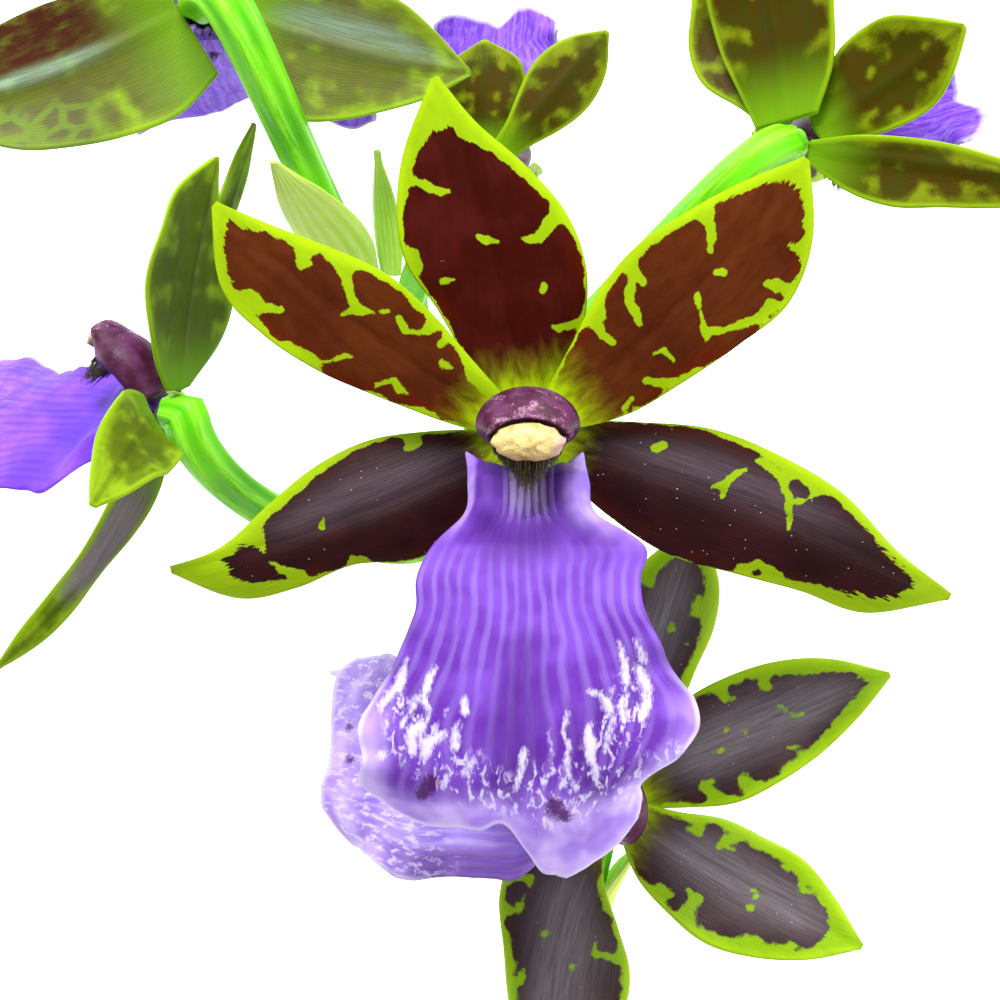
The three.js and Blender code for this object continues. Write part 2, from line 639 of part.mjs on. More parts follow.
/** A flower's frame, as a matrix from its own axes to the spray's. */
function flowerMatrix(flower) {
  const out = new THREE.Vector3(...flower.facing).normalize();
  const up = new THREE.Vector3(...flower.top);
  up.addScaledVector(out, -out.dot(up)).normalize();
  const side = new THREE.Vector3().crossVectors(up, out);
  return new THREE.Matrix4()
    .makeBasis(side, up, out)
    .scale(new THREE.Vector3(flower.scale, flower.scale, flower.scale))
    .setPosition(...flower.centre);
}

/** The curve of a flower's stalk, from inside the stem to the back of the flower. */
function stalkCurve(flower) {
  const out = new THREE.Vector3(...flower.facing).normalize();
  const start = stemCurve.getPoint(flower.stalk.from);
  const end = new THREE.Vector3(...flower.centre).addScaledVector(out, -SEAT_DEPTH * flower.scale);
  const leave = new THREE.Vector3(...flower.stalk.leave).normalize();
  const arrive = flower.stalk.arrive ? new THREE.Vector3(...flower.stalk.arrive).normalize() : out;
  return new THREE.CubicBezierCurve3(
    start,
    start.clone().addScaledVector(leave, flower.stalk.out),
    end.clone().addScaledVector(arrive, -flower.stalk.back),
    end,
  );
}

/** A ribbed stalk that thickens into the ovary and ends in the flower's seat. */
function stalkRings(flower) {
  const curve = stalkCurve(flower);
  const out = new THREE.Vector3(...flower.facing).normalize();
  const ovary = (flower.stalk.ovary ?? OVARY_RADIUS) * Math.sqrt(flower.scale);
  const points = [];
  const radii = [];
  for (let i = 0; i <= STALK_STEPS; i += 1) {
    const t = i / STALK_STEPS;
    points.push(curve.getPoint(t));
    radii.push(between([STALK_RADIUS_LOW, ovary], t ** STALK_SWELL));
  }
  const centre = new THREE.Vector3(...flower.centre);
  points.push(centre.clone().addScaledVector(out, -0.5 * flower.scale));
  radii.push(SEAT_RADIUS * flower.scale);
  points.push(centre.clone().addScaledVector(out, SEAT_HEIGHT * flower.scale));
  radii.push(SEAT_RADIUS * flower.scale);
  return rodRings(points, radii, STALK_SIDES, STALK_RIBS);
}

const wasm = await Module();
wasm.setup();

/** A closed geometry as a manifold solid. */
function toSolid(geometry) {
  const plain = geometry.clone();
  plain.deleteAttribute('normal');
  const merged = mergeVertices(plain);
  return new wasm.Manifold(new wasm.Mesh({
    numProp: 3,
    vertProperties: new Float32Array(merged.attributes.position.array),
    triVerts: new Uint32Array(merged.index.array),
  }));
}

/** The stem and all its stalks, joined as one solid. */
function stemGeometry() {
  let solid = toSolid(ringsGeometry(stemRings()));
  for (const flower of FLOWERS) solid = solid.add(toSolid(ringsGeometry(stalkRings(flower))));
  const mesh = solid.getMesh();
  const geometry = new THREE.BufferGeometry();
  geometry.setAttribute('position', new THREE.BufferAttribute(mesh.vertProperties, 3));
  geometry.setIndex(new THREE.BufferAttribute(mesh.triVerts, 1));
  return geometry;
}

// ---------------------------------------------------------------- building the scene

function material(colour, roughness) {
  return new THREE.MeshStandardMaterial({ color: colour, roughness, metalness: 0 });
}

function namedMesh(name, geometry, colour, roughness) {
  const mesh = new THREE.Mesh(geometry, material(colour, roughness));
  mesh.name = name;
  return mesh;
}

/** One flower's blades, lip, column and cap, in a group placed where it blooms. */
function flowerGroup(flower) {
  const group = new THREE.Group();
  group.applyMatrix4(flowerMatrix(flower));
  for (const [part, common] of Object.entries(TEPALS)) {
    const blade = { ...common, ...flower.blades[part] };
    const geometry = bladeGeometry(bladeSurface(blade), ...flower.grid, BLADE_THICKNESS);
    const colour = part.endsWith('petal') ? COLOURS.petal : COLOURS.sepal;
    group.add(namedMesh(`${flower.name}_${part}`, geometry, colour, ROUGHNESS.petal));
  }
  const lip = { ...LIP, ...flower.lip };
  const lipShape = bladeGeometry(lipSurface(lip), ...flower.lipGrid, LIP_THICKNESS);
  group.add(namedMesh(`${flower.name}_lip`, lipShape, COLOURS.lip, ROUGHNESS.lip));
  const column = { ...COLUMN, ...flower.column };
  const columnShape = columnGeometry(column, ...flower.columnGrid);
  group.add(namedMesh(`${flower.name}_column`, columnShape, COLOURS.column, ROUGHNESS.column));
  group.add(namedMesh(`${flower.name}_anther_cap`, antherCap(column), COLOURS.cap, ROUGHNESS.cap));
  return group;
}

/** The small leaf at the foot of a flower's stalk, standing off the stalk's side. */
function bractGroup(flower) {
  const { along, foot, side, heading, ...changes } = flower.bract;
  const curve = stalkCurve(flower);
  const at = foot ? 0 : along / curve.getLength();
  const travel = heading ? new THREE.Vector3(...heading).normalize() : curve.getTangentAt(at);
  const out = new THREE.Vector3(...side);
  out.addScaledVector(travel, -travel.dot(out)).normalize();
  const across = new THREE.Vector3().crossVectors(out, travel);
  const place = foot ? new THREE.Vector3(...foot) : curve.getPointAt(at).addScaledVector(out, BRACT_OFFSET);
  const group = new THREE.Group();
  group.applyMatrix4(new THREE.Matrix4()
    .makeBasis(travel, across, out)
    .setPosition(place));
  const blade = { ...BRACT, ...changes };
  const geometry = bladeGeometry(bladeSurface(blade), ...BRACT_GRID, BLADE_THICKNESS);
  group.add(namedMesh(`${flower.name}_bract`, geometry, COLOURS.bract, ROUGHNESS.bract));
  return group;
}

const spray = new THREE.Group();
spray.position.copy(MIDDLE).negate();
spray.add(namedMesh('flower_stem', stemGeometry(), COLOURS.stem, ROUGHNESS.stem));
for (const flower of FLOWERS) {
  spray.add(flowerGroup(flower));
  spray.add(bractGroup(flower));
}

export default spray;
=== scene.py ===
"""The dressed flower spray of a zygopetalum orchid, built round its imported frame.

The spray lies on its back: six flowers on one flower stem. Sizes are millimetres up to
new_mesh(), which gives every mesh its metres. Angles of blades are degrees.
"""

import logging
import math
from collections.abc import Callable
from dataclasses import dataclass, replace
from enum import Enum

import bpy
import numpy as np
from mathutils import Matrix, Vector


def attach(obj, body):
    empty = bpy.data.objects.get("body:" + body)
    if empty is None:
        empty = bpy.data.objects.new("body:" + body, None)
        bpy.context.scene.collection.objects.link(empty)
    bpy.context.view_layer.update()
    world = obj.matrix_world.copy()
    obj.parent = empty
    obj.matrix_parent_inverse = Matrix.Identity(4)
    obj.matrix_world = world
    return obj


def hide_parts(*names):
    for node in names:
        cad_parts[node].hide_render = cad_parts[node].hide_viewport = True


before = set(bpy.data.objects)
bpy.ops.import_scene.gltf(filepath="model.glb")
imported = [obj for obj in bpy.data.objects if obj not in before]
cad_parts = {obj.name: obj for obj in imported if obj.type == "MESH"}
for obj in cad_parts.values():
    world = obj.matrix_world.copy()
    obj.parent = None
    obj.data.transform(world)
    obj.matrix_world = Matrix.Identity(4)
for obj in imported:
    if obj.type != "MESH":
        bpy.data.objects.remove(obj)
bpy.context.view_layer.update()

LOG = logging.getLogger("spray")

Array = np.ndarray
Pair = tuple[float, float]
Triple = tuple[float, float, float]
Row = tuple[float, ...]
Stroke = tuple[Triple, ...]
Columns = tuple[Array, ...]
Place = Callable[[Array, Array], Array]
Socket = bpy.types.NodeSocket
Colour = tuple[float, float, float, float]
Faces = list[tuple[int, ...]] | Array
Two = tuple[Socket, Socket]
Effects = dict[str, bpy.types.NodeTree]

MILLIMETRE = 0.001
MIDDLE = np.array((-6.05, 3.82, 0.0))   # of the spray, which is moved there to the origin
EYE_HEIGHT = 348.0                      # of the camera over the surface
LENS = 108.0
SENSOR = 36.0

BLADE_THICKNESS = 0.85
LIP_THICKNESS = 0.95
RIM_SHARE = 0.36                        # of a blade's thickness that is left at its edge
TIP_HALF_WIDTH = 0.35
MIDRIB_STEPS = 192
TINY = 1e-3
RIM_POWER = 5                           # how late a blade thins towards its edge
GROOVE_WIDTH = 0.8                      # of the furrow along a midrib
CORNER = 1.6                            # how sharply a tepal's green margin and tip meet
JOIN = 2.4                              # how sharply its marks run into its margin
STROKE_SWELL = 0.08                     # added to every mark's half width
FAR_OUTSIDE = -50.0                     # the depth where there is no mark at all
FIRST_SEED = 11

STEM_RADII = (2.7, 1.8)                 # at the cut end and at the last flower
STALK_RADIUS_LOW = 1.5
STALK_SWELL = 0.7
STALK_FLARE = 0.55                      # extra thickness where a stalk leaves the stem
RIB_DEPTH = 0.06
OVARY_RADIUS = 2.4
BRACT_OFFSET = 2.9
SEAT_DEPTH = 1.2
SEAT_RADIUS = 2.0
SEAT_HEIGHTS = (-0.5, 0.6, 1.2)         # of the knob's rings over the flower's centre
STALK_RIBS = 6
STRIPE_REACH = 0.03                     # metres of stalk that count as one along its stripes
HAIR_REACH = (0.72, 0.99)               # the shares of the column's length between which it is hairy
HAIR_STRIP = 0.72                       # of the column's half width is hairy
HAIR_FALL = 0.72                        # how much shorter the outer hairs are
HAIR_STRAY = 0.16                       # how far a hair's way strays from its comb
SHORTEST_HAIR = 0.7                     # of the longest
LIP_STRIPES = 8.3                       # pale veins from a lip's middle to its edge
LAMP_AIM = (0, 0, 0.03)                 # in metres
FULL_TURN = 2 * math.pi


class Slot(str, Enum):
    """The record's finishes."""

    PETAL = "petal"
    SEPAL = "sepal"
    LIP = "lip"
    COLUMN = "column"
    CAP = "anther_cap"
    STEM = "stem"
    BRACT = "bract"


class Look(Enum):
    """How a flower's tepals are coloured."""

    WARM = "red-brown face, bright margins"
    # the grey on this near-black face is painted sheen
    DEEP = "near-black face with a grey haze"
    OLIVE = "smooth olive back"
    BROWN = "brown-olive back with soft green patches"
    PALE = "pale green back with a dusky upper half"


class LipLook(Enum):
    """How a flower's lip is coloured."""

    OPEN = "violet with pale stripes and white feathering"
    VIVID = "blue-violet with darker stripes"
    FADED = "lavender with a white net"


# ---------------------------------------------------------------- number tools

def tone(code: str) -> Colour:
    """A colour written as a web hex code, in the linear light that Blender uses.

    Args:
        code: six hex digits after a hash.

    Returns:
        Red, green, blue and an alpha of one.
    """
    parts = [int(code[at:at + 2], 16) / 255 for at in (1, 3, 5)]
    return (*(part / 12.92 if part <= 0.04045 else ((part + 0.055) / 1.055) ** 2.4 for part in parts), 1.0)


def through(values: Row, u: Array) -> Array:
    """A smooth value between equally spaced ones.

    Args:
        values: the values at equal steps.
        u: where to read them, from 0 to 1.

    Returns:
        One value for each place in u.
    """
    row = np.asarray(values, float)
    last = len(row) - 1
    at = np.clip(u, 0, 1) * last
    index = np.minimum(at.astype(int), last - 1)
    t = at - index
    padded = np.concatenate(([2 * row[0] - row[1]], row, [2 * row[-1] - row[-2]]))
    p0, p1, p2, p3 = (padded[index + shift] for shift in range(4))
    return 0.5 * (2 * p1 + (p2 - p0) * t + (2 * p0 - 5 * p1 + 4 * p2 - p3) * t ** 2
                  + (3 * p1 - p0 - 3 * p2 + p3) * t ** 3)


def between(pair: Pair, u: Array) -> Array:
    """A number that goes evenly from the first of a pair to the second."""
    return pair[0] + (pair[1] - pair[0]) * u


def smooth(low: float, high: float, value: Array) -> Array:
    """A soft step that rises from 0 at low to 1 at high, or falls if low is the larger."""
    t = np.clip((value - low) / (high - low), 0, 1)
    return t * t * (3 - 2 * t)


def bell(value: Array, centre: float, width: float) -> Array:
    """A soft hump that is 1 at its centre."""
    return np.exp(-((value - centre) / width) ** 2)


def flat_grid(first: Array, second: Array) -> tuple[Array, Array]:
    """Every pair of two rows of numbers, as two flat arrays."""
    return tuple(grid.ravel() for grid in np.meshgrid(first, second, indexing="ij"))


def lengths(line: Array) -> Array:
    """How far along a line each of its points lies."""
    return np.concatenate(([0], np.cumsum(np.linalg.norm(np.diff(line, axis=0), axis=1))))


def unit(vector: Array | Triple) -> Array:
    """The same direction with a length of one, row by row."""
    rows = np.asarray(vector, float)
    return rows / np.linalg.norm(rows, axis=-1, keepdims=True)


def turned(points: Array, axis: int, angle: float) -> Array:
    """Points turned about a main axis.

    Args:
        points: rows of x, y and z.
        axis: 0, 1 or 2 for x, y or z.
        angle: degrees, counterclockwise seen from the axis's end.

    Returns:
        The turned rows.
    """
    c, s = math.cos(math.radians(angle)), math.sin(math.radians(angle))
    first, second = (axis + 1) % 3, (axis + 2) % 3
    result = points.copy()
    result[:, first] = c * points[:, first] - s * points[:, second]
    result[:, second] = s * points[:, first] + c * points[:, second]
    return result


def bent_side(half_width: Array, bend: Array, v: Array) -> tuple[Array, Array]:
    """How far sideways and up a strip goes when its side bends.

    Args:
        half_width: of the strip.
        bend: of the whole side, in radians.
        v: from -1 at the right edge to 1 at the left.

    Returns:
        The way sideways and the way up.
    """
    safe = np.where(np.abs(bend) < TINY, TINY, bend)
    return (np.sign(v) * half_width * np.sin(safe * np.abs(v)) / safe,
            half_width * (1 - np.cos(safe * np.abs(v))) / safe)


def stroke_field(plane: Array, strokes: tuple[Stroke, ...]) -> Array:
    """How deep each point lies inside the nearest of some brush strokes.

    Args:
        plane: rows of two flat coordinates.
        strokes: each a route of x, y and half width.

    Returns:
        Millimetres, above zero inside a stroke.
    """
    best = np.full(len(plane), FAR_OUTSIDE)
    for stroke in strokes:
        route = stroke if len(stroke) > 1 else (stroke[0], stroke[0])
        for (ax, ay, a_half), (bx, by, b_half) in zip(route, route[1:]):
            run = np.array((bx - ax, by - ay))
            rest = plane - (ax, ay)
            t = np.clip(rest @ run / max(run @ run, 1e-9), 0, 1)
            gap = np.linalg.norm(rest - t[:, None] * run, axis=1)
            best = np.maximum(best, a_half + (b_half - a_half) * t - gap)
    return best


# ---------------------------------------------------------------- meshes

@dataclass
class Shape:
    """Points and faces of a closed surface, with each point's place on it."""

    points: Array
    faces: Faces
    u: Array
    v: Array
    face: Array


def new_mesh(name: str, points: Array, edges: list[tuple[int, int]], faces: Faces) -> bpy.types.Mesh:
    """A mesh in metres, with the spray's middle at the origin.

    Args:
        name: of the mesh.
        points: rows in the spray's millimetres.
        edges: indices of each edge that has no face.
        faces: indices of each face, facing outwards.

    Returns:
        The mesh.
    """
    mesh = bpy.data.meshes.new(name)
    mesh.from_pydata((points - MIDDLE) * MILLIMETRE, edges, faces)
    return mesh


def store(mesh: bpy.types.Mesh, name: str, *columns: Array) -> None:
    """Stores one number or three for each point of a mesh.

    Args:
        mesh: to store them on.
        name: that the finish reads them by.
        columns: one array or three.
    """
    kind, key = ("FLOAT", "value") if len(columns) == 1 else ("FLOAT_VECTOR", "vector")
    rows = np.column_stack(columns).astype(np.float32)
    mesh.attributes.new(name, kind, "POINT").data.foreach_set(key, rows.ravel())


def placed(name: str, data: bpy.types.ID) -> bpy.types.Object:
    """A new object in the scene.

    Args:
        name: of the object.
        data: its mesh, lamp or camera.

    Returns:
        The object.
    """
    thing = bpy.data.objects.new(name, data)
    bpy.context.scene.collection.objects.link(thing)
    return thing


def show(mesh: bpy.types.Mesh, slot: Slot, *nodes: str) -> None:
    """Adds a mesh to the scene as a piece of the spray.

    Args:
        mesh: in metres, with its material and the piece's name.
        slot: the record's finish that it stands for; not used.
        nodes: the frame's nodes that it replaces.
    """
    thing = placed(mesh.name, mesh)
    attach(thing, "root")
    if nodes:
        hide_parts(*nodes)
    LOG.info("%s: %d points, for %s", mesh.name, len(mesh.vertices), ", ".join(nodes) or "the look alone")


def grid_faces(rows: int, columns: int, wrap: bool) -> Array:
    """Quads of a grid of points, facing up when rows run away and columns to the left.

    Args:
        rows: number of rows of points.
        columns: number of points in a row.
        wrap: whether the last column joins the first.

    Returns:
        Four indices a row.
    """
    i, j = np.meshgrid(np.arange(rows - 1), np.arange(columns if wrap else columns - 1), indexing="ij")
    a = (i * columns + j).ravel()
    b = (i * columns + (j + 1) % columns).ravel()
    return np.column_stack((a, a + columns, b + columns, b))


def closed_sheet(place: Place, thickness: float, steps: int, across: int) -> Shape:
    """A thin closed blade on both sides of a surface, thinner at its rim.

    Args:
        place: gives the surface's points for u and v.
        thickness: at the middle.
        steps: number of squares from base to tip.
        across: number of squares from edge to edge.

    Returns:
        The blade, front side first.
    """
    u, v = flat_grid(np.linspace(0, 1, steps + 1), np.linspace(-1, 1, across + 1))
    middle = place(u, v)
    along = place(np.minimum(u + TINY, 1), v) - place(np.maximum(u - TINY, 0), v)
    over = place(u, np.minimum(v + TINY, 1)) - place(u, np.maximum(v - TINY, -1))
    rim = np.maximum(np.abs(v), 2 * u - 1)
    half = thickness / 2 * (1 - (1 - RIM_SHARE) * np.abs(rim) ** RIM_POWER)
    lift = unit(np.cross(along, over)) * half[:, None]
    row, back = across + 1, len(middle)
    front = grid_faces(steps + 1, row, False)
    edge = np.concatenate((
        np.arange(row), row * np.arange(1, steps + 1) + across,
        steps * row + np.arange(across - 1, -1, -1), row * np.arange(steps - 1, 0, -1)))
    onward = np.roll(edge, -1)
    faces = np.concatenate((front, front[:, ::-1] + back,
                            np.column_stack((edge, onward, onward + back, edge + back))))
    return Shape(np.concatenate((middle + lift, middle - lift)), faces, np.tile(u, 2), np.tile(v, 2),
                 np.repeat((1.0, -1.0), back))


# ---------------------------------------------------------------- petals and sepals

@dataclass(frozen=True)
class Blade:
    """A petal, sepal or bract: its midrib's course and its half widths from base to tip."""

    angle: float = 0
    bend: float = 0
    length: float = 16
    start: float = 0
    depth: float = 0
    rise: Pair = (2, 12)
    curl: Pair = (-70, -30)
    twist: Pair = (0, 0)
    wave: float = 0
    left: Row = (2.4, 3.2, 3.3, 2.9, 2.2, 1.2, 0.2)
    right: Row = (2.4, 3.2, 3.3, 2.9, 2.2, 1.2, 0.2)
    groove: float = 0.3

    def mirrored(self) -> "Blade":
        """The same blade on the other side of the flower."""
        return replace(self, angle=180 - self.angle, bend=-self.bend, left=self.right, right=self.left)

    def axes(self, u: Array) -> tuple[Array, Array, Array]:
        """The midrib's direction at u, and the axes across and out of the blade.

        Args:
            u: from the base to the tip.

        Returns:
            Three arrays of unit rows.
        """
        heading = np.radians(self.angle + self.bend * u)
        rise = np.radians(between(self.rise, u))
        turn = np.radians(between(self.twist, u))[:, None]
        level_way = np.column_stack((np.cos(heading), np.sin(heading), np.zeros_like(u)))
        along = level_way * np.cos(rise)[:, None]
        along[:, 2] = np.sin(rise)
        level = np.column_stack((-np.sin(heading), np.cos(heading), np.zeros_like(u)))
        out = np.cross(along, level)
        return (along, level * np.cos(turn) + out * np.sin(turn),
                out * np.cos(turn) - level * np.sin(turn))

    def midrib(self) -> Array:
        """Points of the midrib, added up step by step from its base."""
        first = math.radians(self.angle)
        base = np.array((math.cos(first) * self.start, math.sin(first) * self.start, self.depth))
        along, _, _ = self.axes((np.arange(MIDRIB_STEPS) + 0.5) / MIDRIB_STEPS)
        return np.vstack((base, base + np.cumsum(along * self.length / MIDRIB_STEPS, axis=0)))

    def half_width(self, u: Array, v: Array) -> Array:
        """Half width on the side that v is on."""
        width = np.where(v >= 0, through(self.left, u), through(self.right, u))
        return np.maximum(width, TIP_HALF_WIDTH)

    def place(self, u: Array, v: Array) -> Array:
        """Points of the blade, for u from base to tip and v from its right edge to its left.

        Args:
            u: from its base at 0 to its tip at 1.
            v: from its right edge at -1 to its left at 1.

        Returns:
            Rows in the flower's frame.
        """
        midrib = self.midrib()
        steps = np.linspace(0, 1, MIDRIB_STEPS + 1)
        point = np.column_stack([np.interp(u, steps, midrib[:, axis]) for axis in range(3)])
        _, across, out = self.axes(u)
        width = self.half_width(u, v)
        sideways, up = bent_side(width, np.radians(between(self.curl, u)), v)
        swing = np.sin(4 * np.pi * u + np.where(v > 0, 0, 2)) * np.sin(np.pi * u)
        hollow = self.groove * bell(v * width, 0, GROOVE_WIDTH) * np.sin(np.pi * u) ** 0.5
        height = up + self.wave * v * v * swing - hollow
        return point + across * sideways[:, None] + out * height[:, None]


@dataclass(frozen=True)
class Marking:
    """The green marks on a tepal's dark face.

    Rims are the green margins' widths from base to tip, and tip is how far down from
    its end the tepal is green. Strokes are green and ink is dark, each a route of two
    flat coordinates and a half width.
    """

    rim_left: Row
    rim_right: Row
    tip: float
    strokes: tuple[Stroke, ...] = ()
    ink: tuple[Stroke, ...] = ()

    def field(self, blade: Blade, u: Array, v: Array, plane: Array) -> Array:
        """How deep each point lies in green.

        Args:
            blade: the marked tepal.
            u: from its base to its tip.
            v: from its right edge to its left.
            plane: the strokes' two flat coordinates of each point.

        Returns:
            Millimetres, above zero where the tepal is green.
        """
        rim = np.where(v >= 0, through(self.rim_left, u), through(self.rim_right, u))
        inside = (1 - np.abs(v)) * blade.half_width(u, v) - rim
        from_tip = (1 - u) * blade.length - self.tip
        dark = -np.logaddexp(-inside * CORNER, -from_tip * CORNER) / CORNER
        marks = stroke_field(plane, self.strokes) + STROKE_SWELL
        green = np.logaddexp(-dark * JOIN, marks * JOIN) / JOIN
        return np.minimum(green, -stroke_field(plane, self.ink)) if self.ink else green


GROWN_RIM = (0.2, 0.4, 0.6, 1.0, 1.3, 1.6, 2.0)


def grown_marking(blade: Blade, seed: int) -> Marking:
    """Margins, notches, hooks and dots like the open flower's, at seeded random.

    Args:
        blade: the tepal to mark.
        seed: of the random draw.

    Returns:
        Its marking, in millimetres along and across the blade.
    """
    draw = np.random.default_rng(seed)
    rims = [tuple(np.array(GROWN_RIM) * draw.uniform(0.6, 1.4, len(GROWN_RIM))) for _ in range(2)]
    strokes = []
    for side in (-1, 1):
        for share in np.linspace(0.25, 0.8, 4) + draw.uniform(-0.06, 0.06, 4):
            edge = float(blade.half_width(np.array([share]), np.array([float(side)]))[0])
            s, half = share * blade.length, draw.uniform(0.35, 0.75)
            depth, drift = edge * draw.uniform(0.2, 0.55), draw.uniform(-1.8, 1.8)
            hook = draw.uniform(0.6, 1.8) * draw.choice((-1, 1))
            strokes.append((
                (s, side * edge, half + 0.4), (s + drift / 2, side * (edge - depth / 2), half),
                (s + drift, side * (edge - depth), half * 0.8),
                (s + drift + hook, side * (edge - depth - 0.3), 0.08)))
    for _ in range(5):
        s, t = blade.length * draw.uniform(0.25, 0.8), draw.uniform(-3, 3)
        strokes.append(((s, t, draw.uniform(0.12, 0.35)), (s + draw.uniform(-0.8, 0.8), t + 0.3, 0.1)))
    return Marking(rims[0], rims[1], draw.uniform(2.5, 4.5), tuple(strokes))


DORSAL_SEPAL = Blade(
    angle=90, length=34, start=2.7, rise=(12, -14), curl=(-6, -14), wave=0.3,
    left=(2.2, 5.6, 7.8, 8.6, 7.6, 4.8, 0.3), right=(2.2, 5.6, 7.8, 8.6, 7.6, 4.8, 0.3))
LEFT_PETAL = Blade(
    angle=138, bend=6, length=35, start=3, depth=1.6, rise=(18, -12), curl=(4, -18), wave=0.5,
    left=(1.9, 4.0, 5.8, 6.6, 6.2, 4.2, 0.3), right=(1.9, 4.2, 6.0, 6.4, 5.6, 3.4, 0.3))
LEFT_SEPAL = Blade(
    angle=208, bend=-10, length=36, start=2.7, rise=(4, -20), curl=(-24, -24), wave=0.3,
    left=(2.2, 5.5, 6.6, 5.8, 5.0, 3.4, 0.3), right=(2.2, 5.5, 6.8, 6.6, 4.6, 2.0, 0.3))
RIGHT_PETAL = LEFT_PETAL.mirrored()
RIGHT_SEPAL = LEFT_SEPAL.mirrored()
BRACT = Blade(groove=0.1)

EVEN_SEPAL = (1.6, 3.2, 5.4, 6.4, 5.6, 3.6, 0.3)
NARROW_SEPAL = (2.2, 4.0, 4.4, 4.2, 3.4, 2.2, 0.3)
SLIM_SEPAL = (1.8, 2.6, 3.0, 2.8, 2.3, 1.5, 0.3)


def wider(factor: float, widths: Row) -> Row:
    """A row of half widths made wider or narrower."""
    return tuple(width * factor for width in widths)


# ---------------------------------------------------------------- lip and column

@dataclass(frozen=True)
class Lip:
    """The frilled lip. Its profile and half widths run down it, and reach runs across it."""

    drop: float = 42
    root: Triple = (0, -4.2, 3.4)
    throat: float = 0.05
    walls: float = 0
    angle: float = -90
    lift: float = 0
    roll: float = 0
    curl: Pair = (12, -38)
    wave: float = 1.3
    waves: float = 3.1
    callus: float = 2.2
    hump: float = 1
    profile: Row = (0, 3.1, 5.2, 6.2, 6.6, 6.0, 3.8, 0)
    left: Row = (6.2, 5.8, 6.1, 9.3, 10.8, 10.9, 12.1, 13.5, 15.3, 16.9, 16.6, 17.2, 16.6, 15, 13)
    right: Row = (5.6, 6.0, 6.6, 11.4, 11.0, 11.3, 12.8, 14.3, 16.5, 17.0, 15.0, 11.7, 11.8, 11.2, 9)
    reach: Row = (0.80, 0.87, 0.89, 0.89, 0.88, 0.88, 0.86, 0.93, 0.98, 0.99, 1, 0.99, 0.97, 0.95, 0.91)

    def down(self, u: Array, v: Array) -> Array:
        """Share of the whole drop, for u from the throat to the lower edge."""
        start = self.throat * (1 - self.walls * v * v)
        return start + u * (through(self.reach, (v + 1) / 2) - start)

    def half_width(self, down: Array, v: Array) -> Array:
        """Half width on the side that v is on."""
        return np.where(v >= 0, through(self.right, down), through(self.left, down))

    def callus_height(self, down: Array, v: Array) -> Array:
        """Height of the horseshoe callus round the throat, with its ridges.

        Args:
            down: the share of the whole drop.
            v: from -1 at one edge to 1 at the other.

        Returns:
            Millimetres over the lip's surface.
        """
        band = np.clip((down - 0.03) / 0.05, 0, 1) * smooth(0.22, 0.13, down)
        wall = 0.35 + 0.65 * np.clip(np.abs(v) / 0.6, 0, 1) ** 2
        ends = np.clip((1 - np.abs(v)) / 0.25, 0, 1)
        return self.callus * band * wall * ends + 0.35 * self.ridges(down, v)

    def ridges(self, down: Array, v: Array) -> Array:
        """The callus's ridges, from 0 between them to 1 on their crests.

        Args:
            down: the share of the whole drop.
            v: from -1 at one edge to 1 at the other.

        Returns:
            One value for each place.
        """
        crest = np.cos(FULL_TURN * 7.2 * v) * 0.5 + 0.5
        band = smooth(0.03, 0.07, down) * smooth(0.18, 0.11, down)
        return crest ** 4 * smooth(0.5, 0.3, np.abs(v)) * band

    def frill_height(self, down: Array, v: Array) -> Array:
        """Height of the frilled margin's waves, with finer crinkles at its edge.

        Args:
            down: the share of the whole drop.
            v: from -1 at one edge to 1 at the other.

        Returns:
            Millimetres over the lip's surface.
        """
        beat = np.where(v > 0, self.waves * down + 0.1, 0.8 * self.waves * down + 0.45)
        fine = 0.22 * np.abs(v) ** 8 * np.sin(FULL_TURN * (self.waves * 3.7 * down + np.sign(v) * 0.2))
        broad = self.wave * np.abs(v) ** 3 * np.sin(FULL_TURN * beat)
        return (broad + fine) * np.clip((down - 0.2) / 0.3, 0, 1)

    def flat(self, u: Array, v: Array) -> Array:
        """Points of the lip before it is turned to its place.

        Args:
            u: from the throat at 0 to the lower edge at 1.
            v: from -1 at one edge to 1 at the other.

        Returns:
            Rows of x, y and z.
        """
        down = self.down(u, v)
        height = self.hump * through(self.profile, down)
        climb = through(self.profile, down + TINY) - through(self.profile, down - TINY)
        slope = self.hump * climb / (2 * TINY * self.drop)
        out = unit(np.column_stack((np.zeros_like(u), slope, np.ones_like(u))))
        width = self.half_width(down, v)
        sideways, up = bent_side(width, np.radians(between(self.curl, down)), v)
        veins = 0.015 * np.cos(FULL_TURN * LIP_STRIPES * v) * smooth(0.2, 0.3, down)
        veins = veins * smooth(1, 0.8, np.abs(v))
        rise = up + self.frill_height(down, v) + self.callus_height(down, v) + veins
        points = np.column_stack((sideways, -(down - self.throat) * self.drop, height))
        return points + out * rise[:, None]

    def place(self, u: Array, v: Array) -> Array:
        """Points of the lip in its flower, u from the throat to the lower edge, v across."""
        points = turned(turned(self.flat(u, v), 1, self.roll), 0, -self.lift)
        return turned(points + np.array(self.root), 2, self.angle + 90)


LIP = Lip()


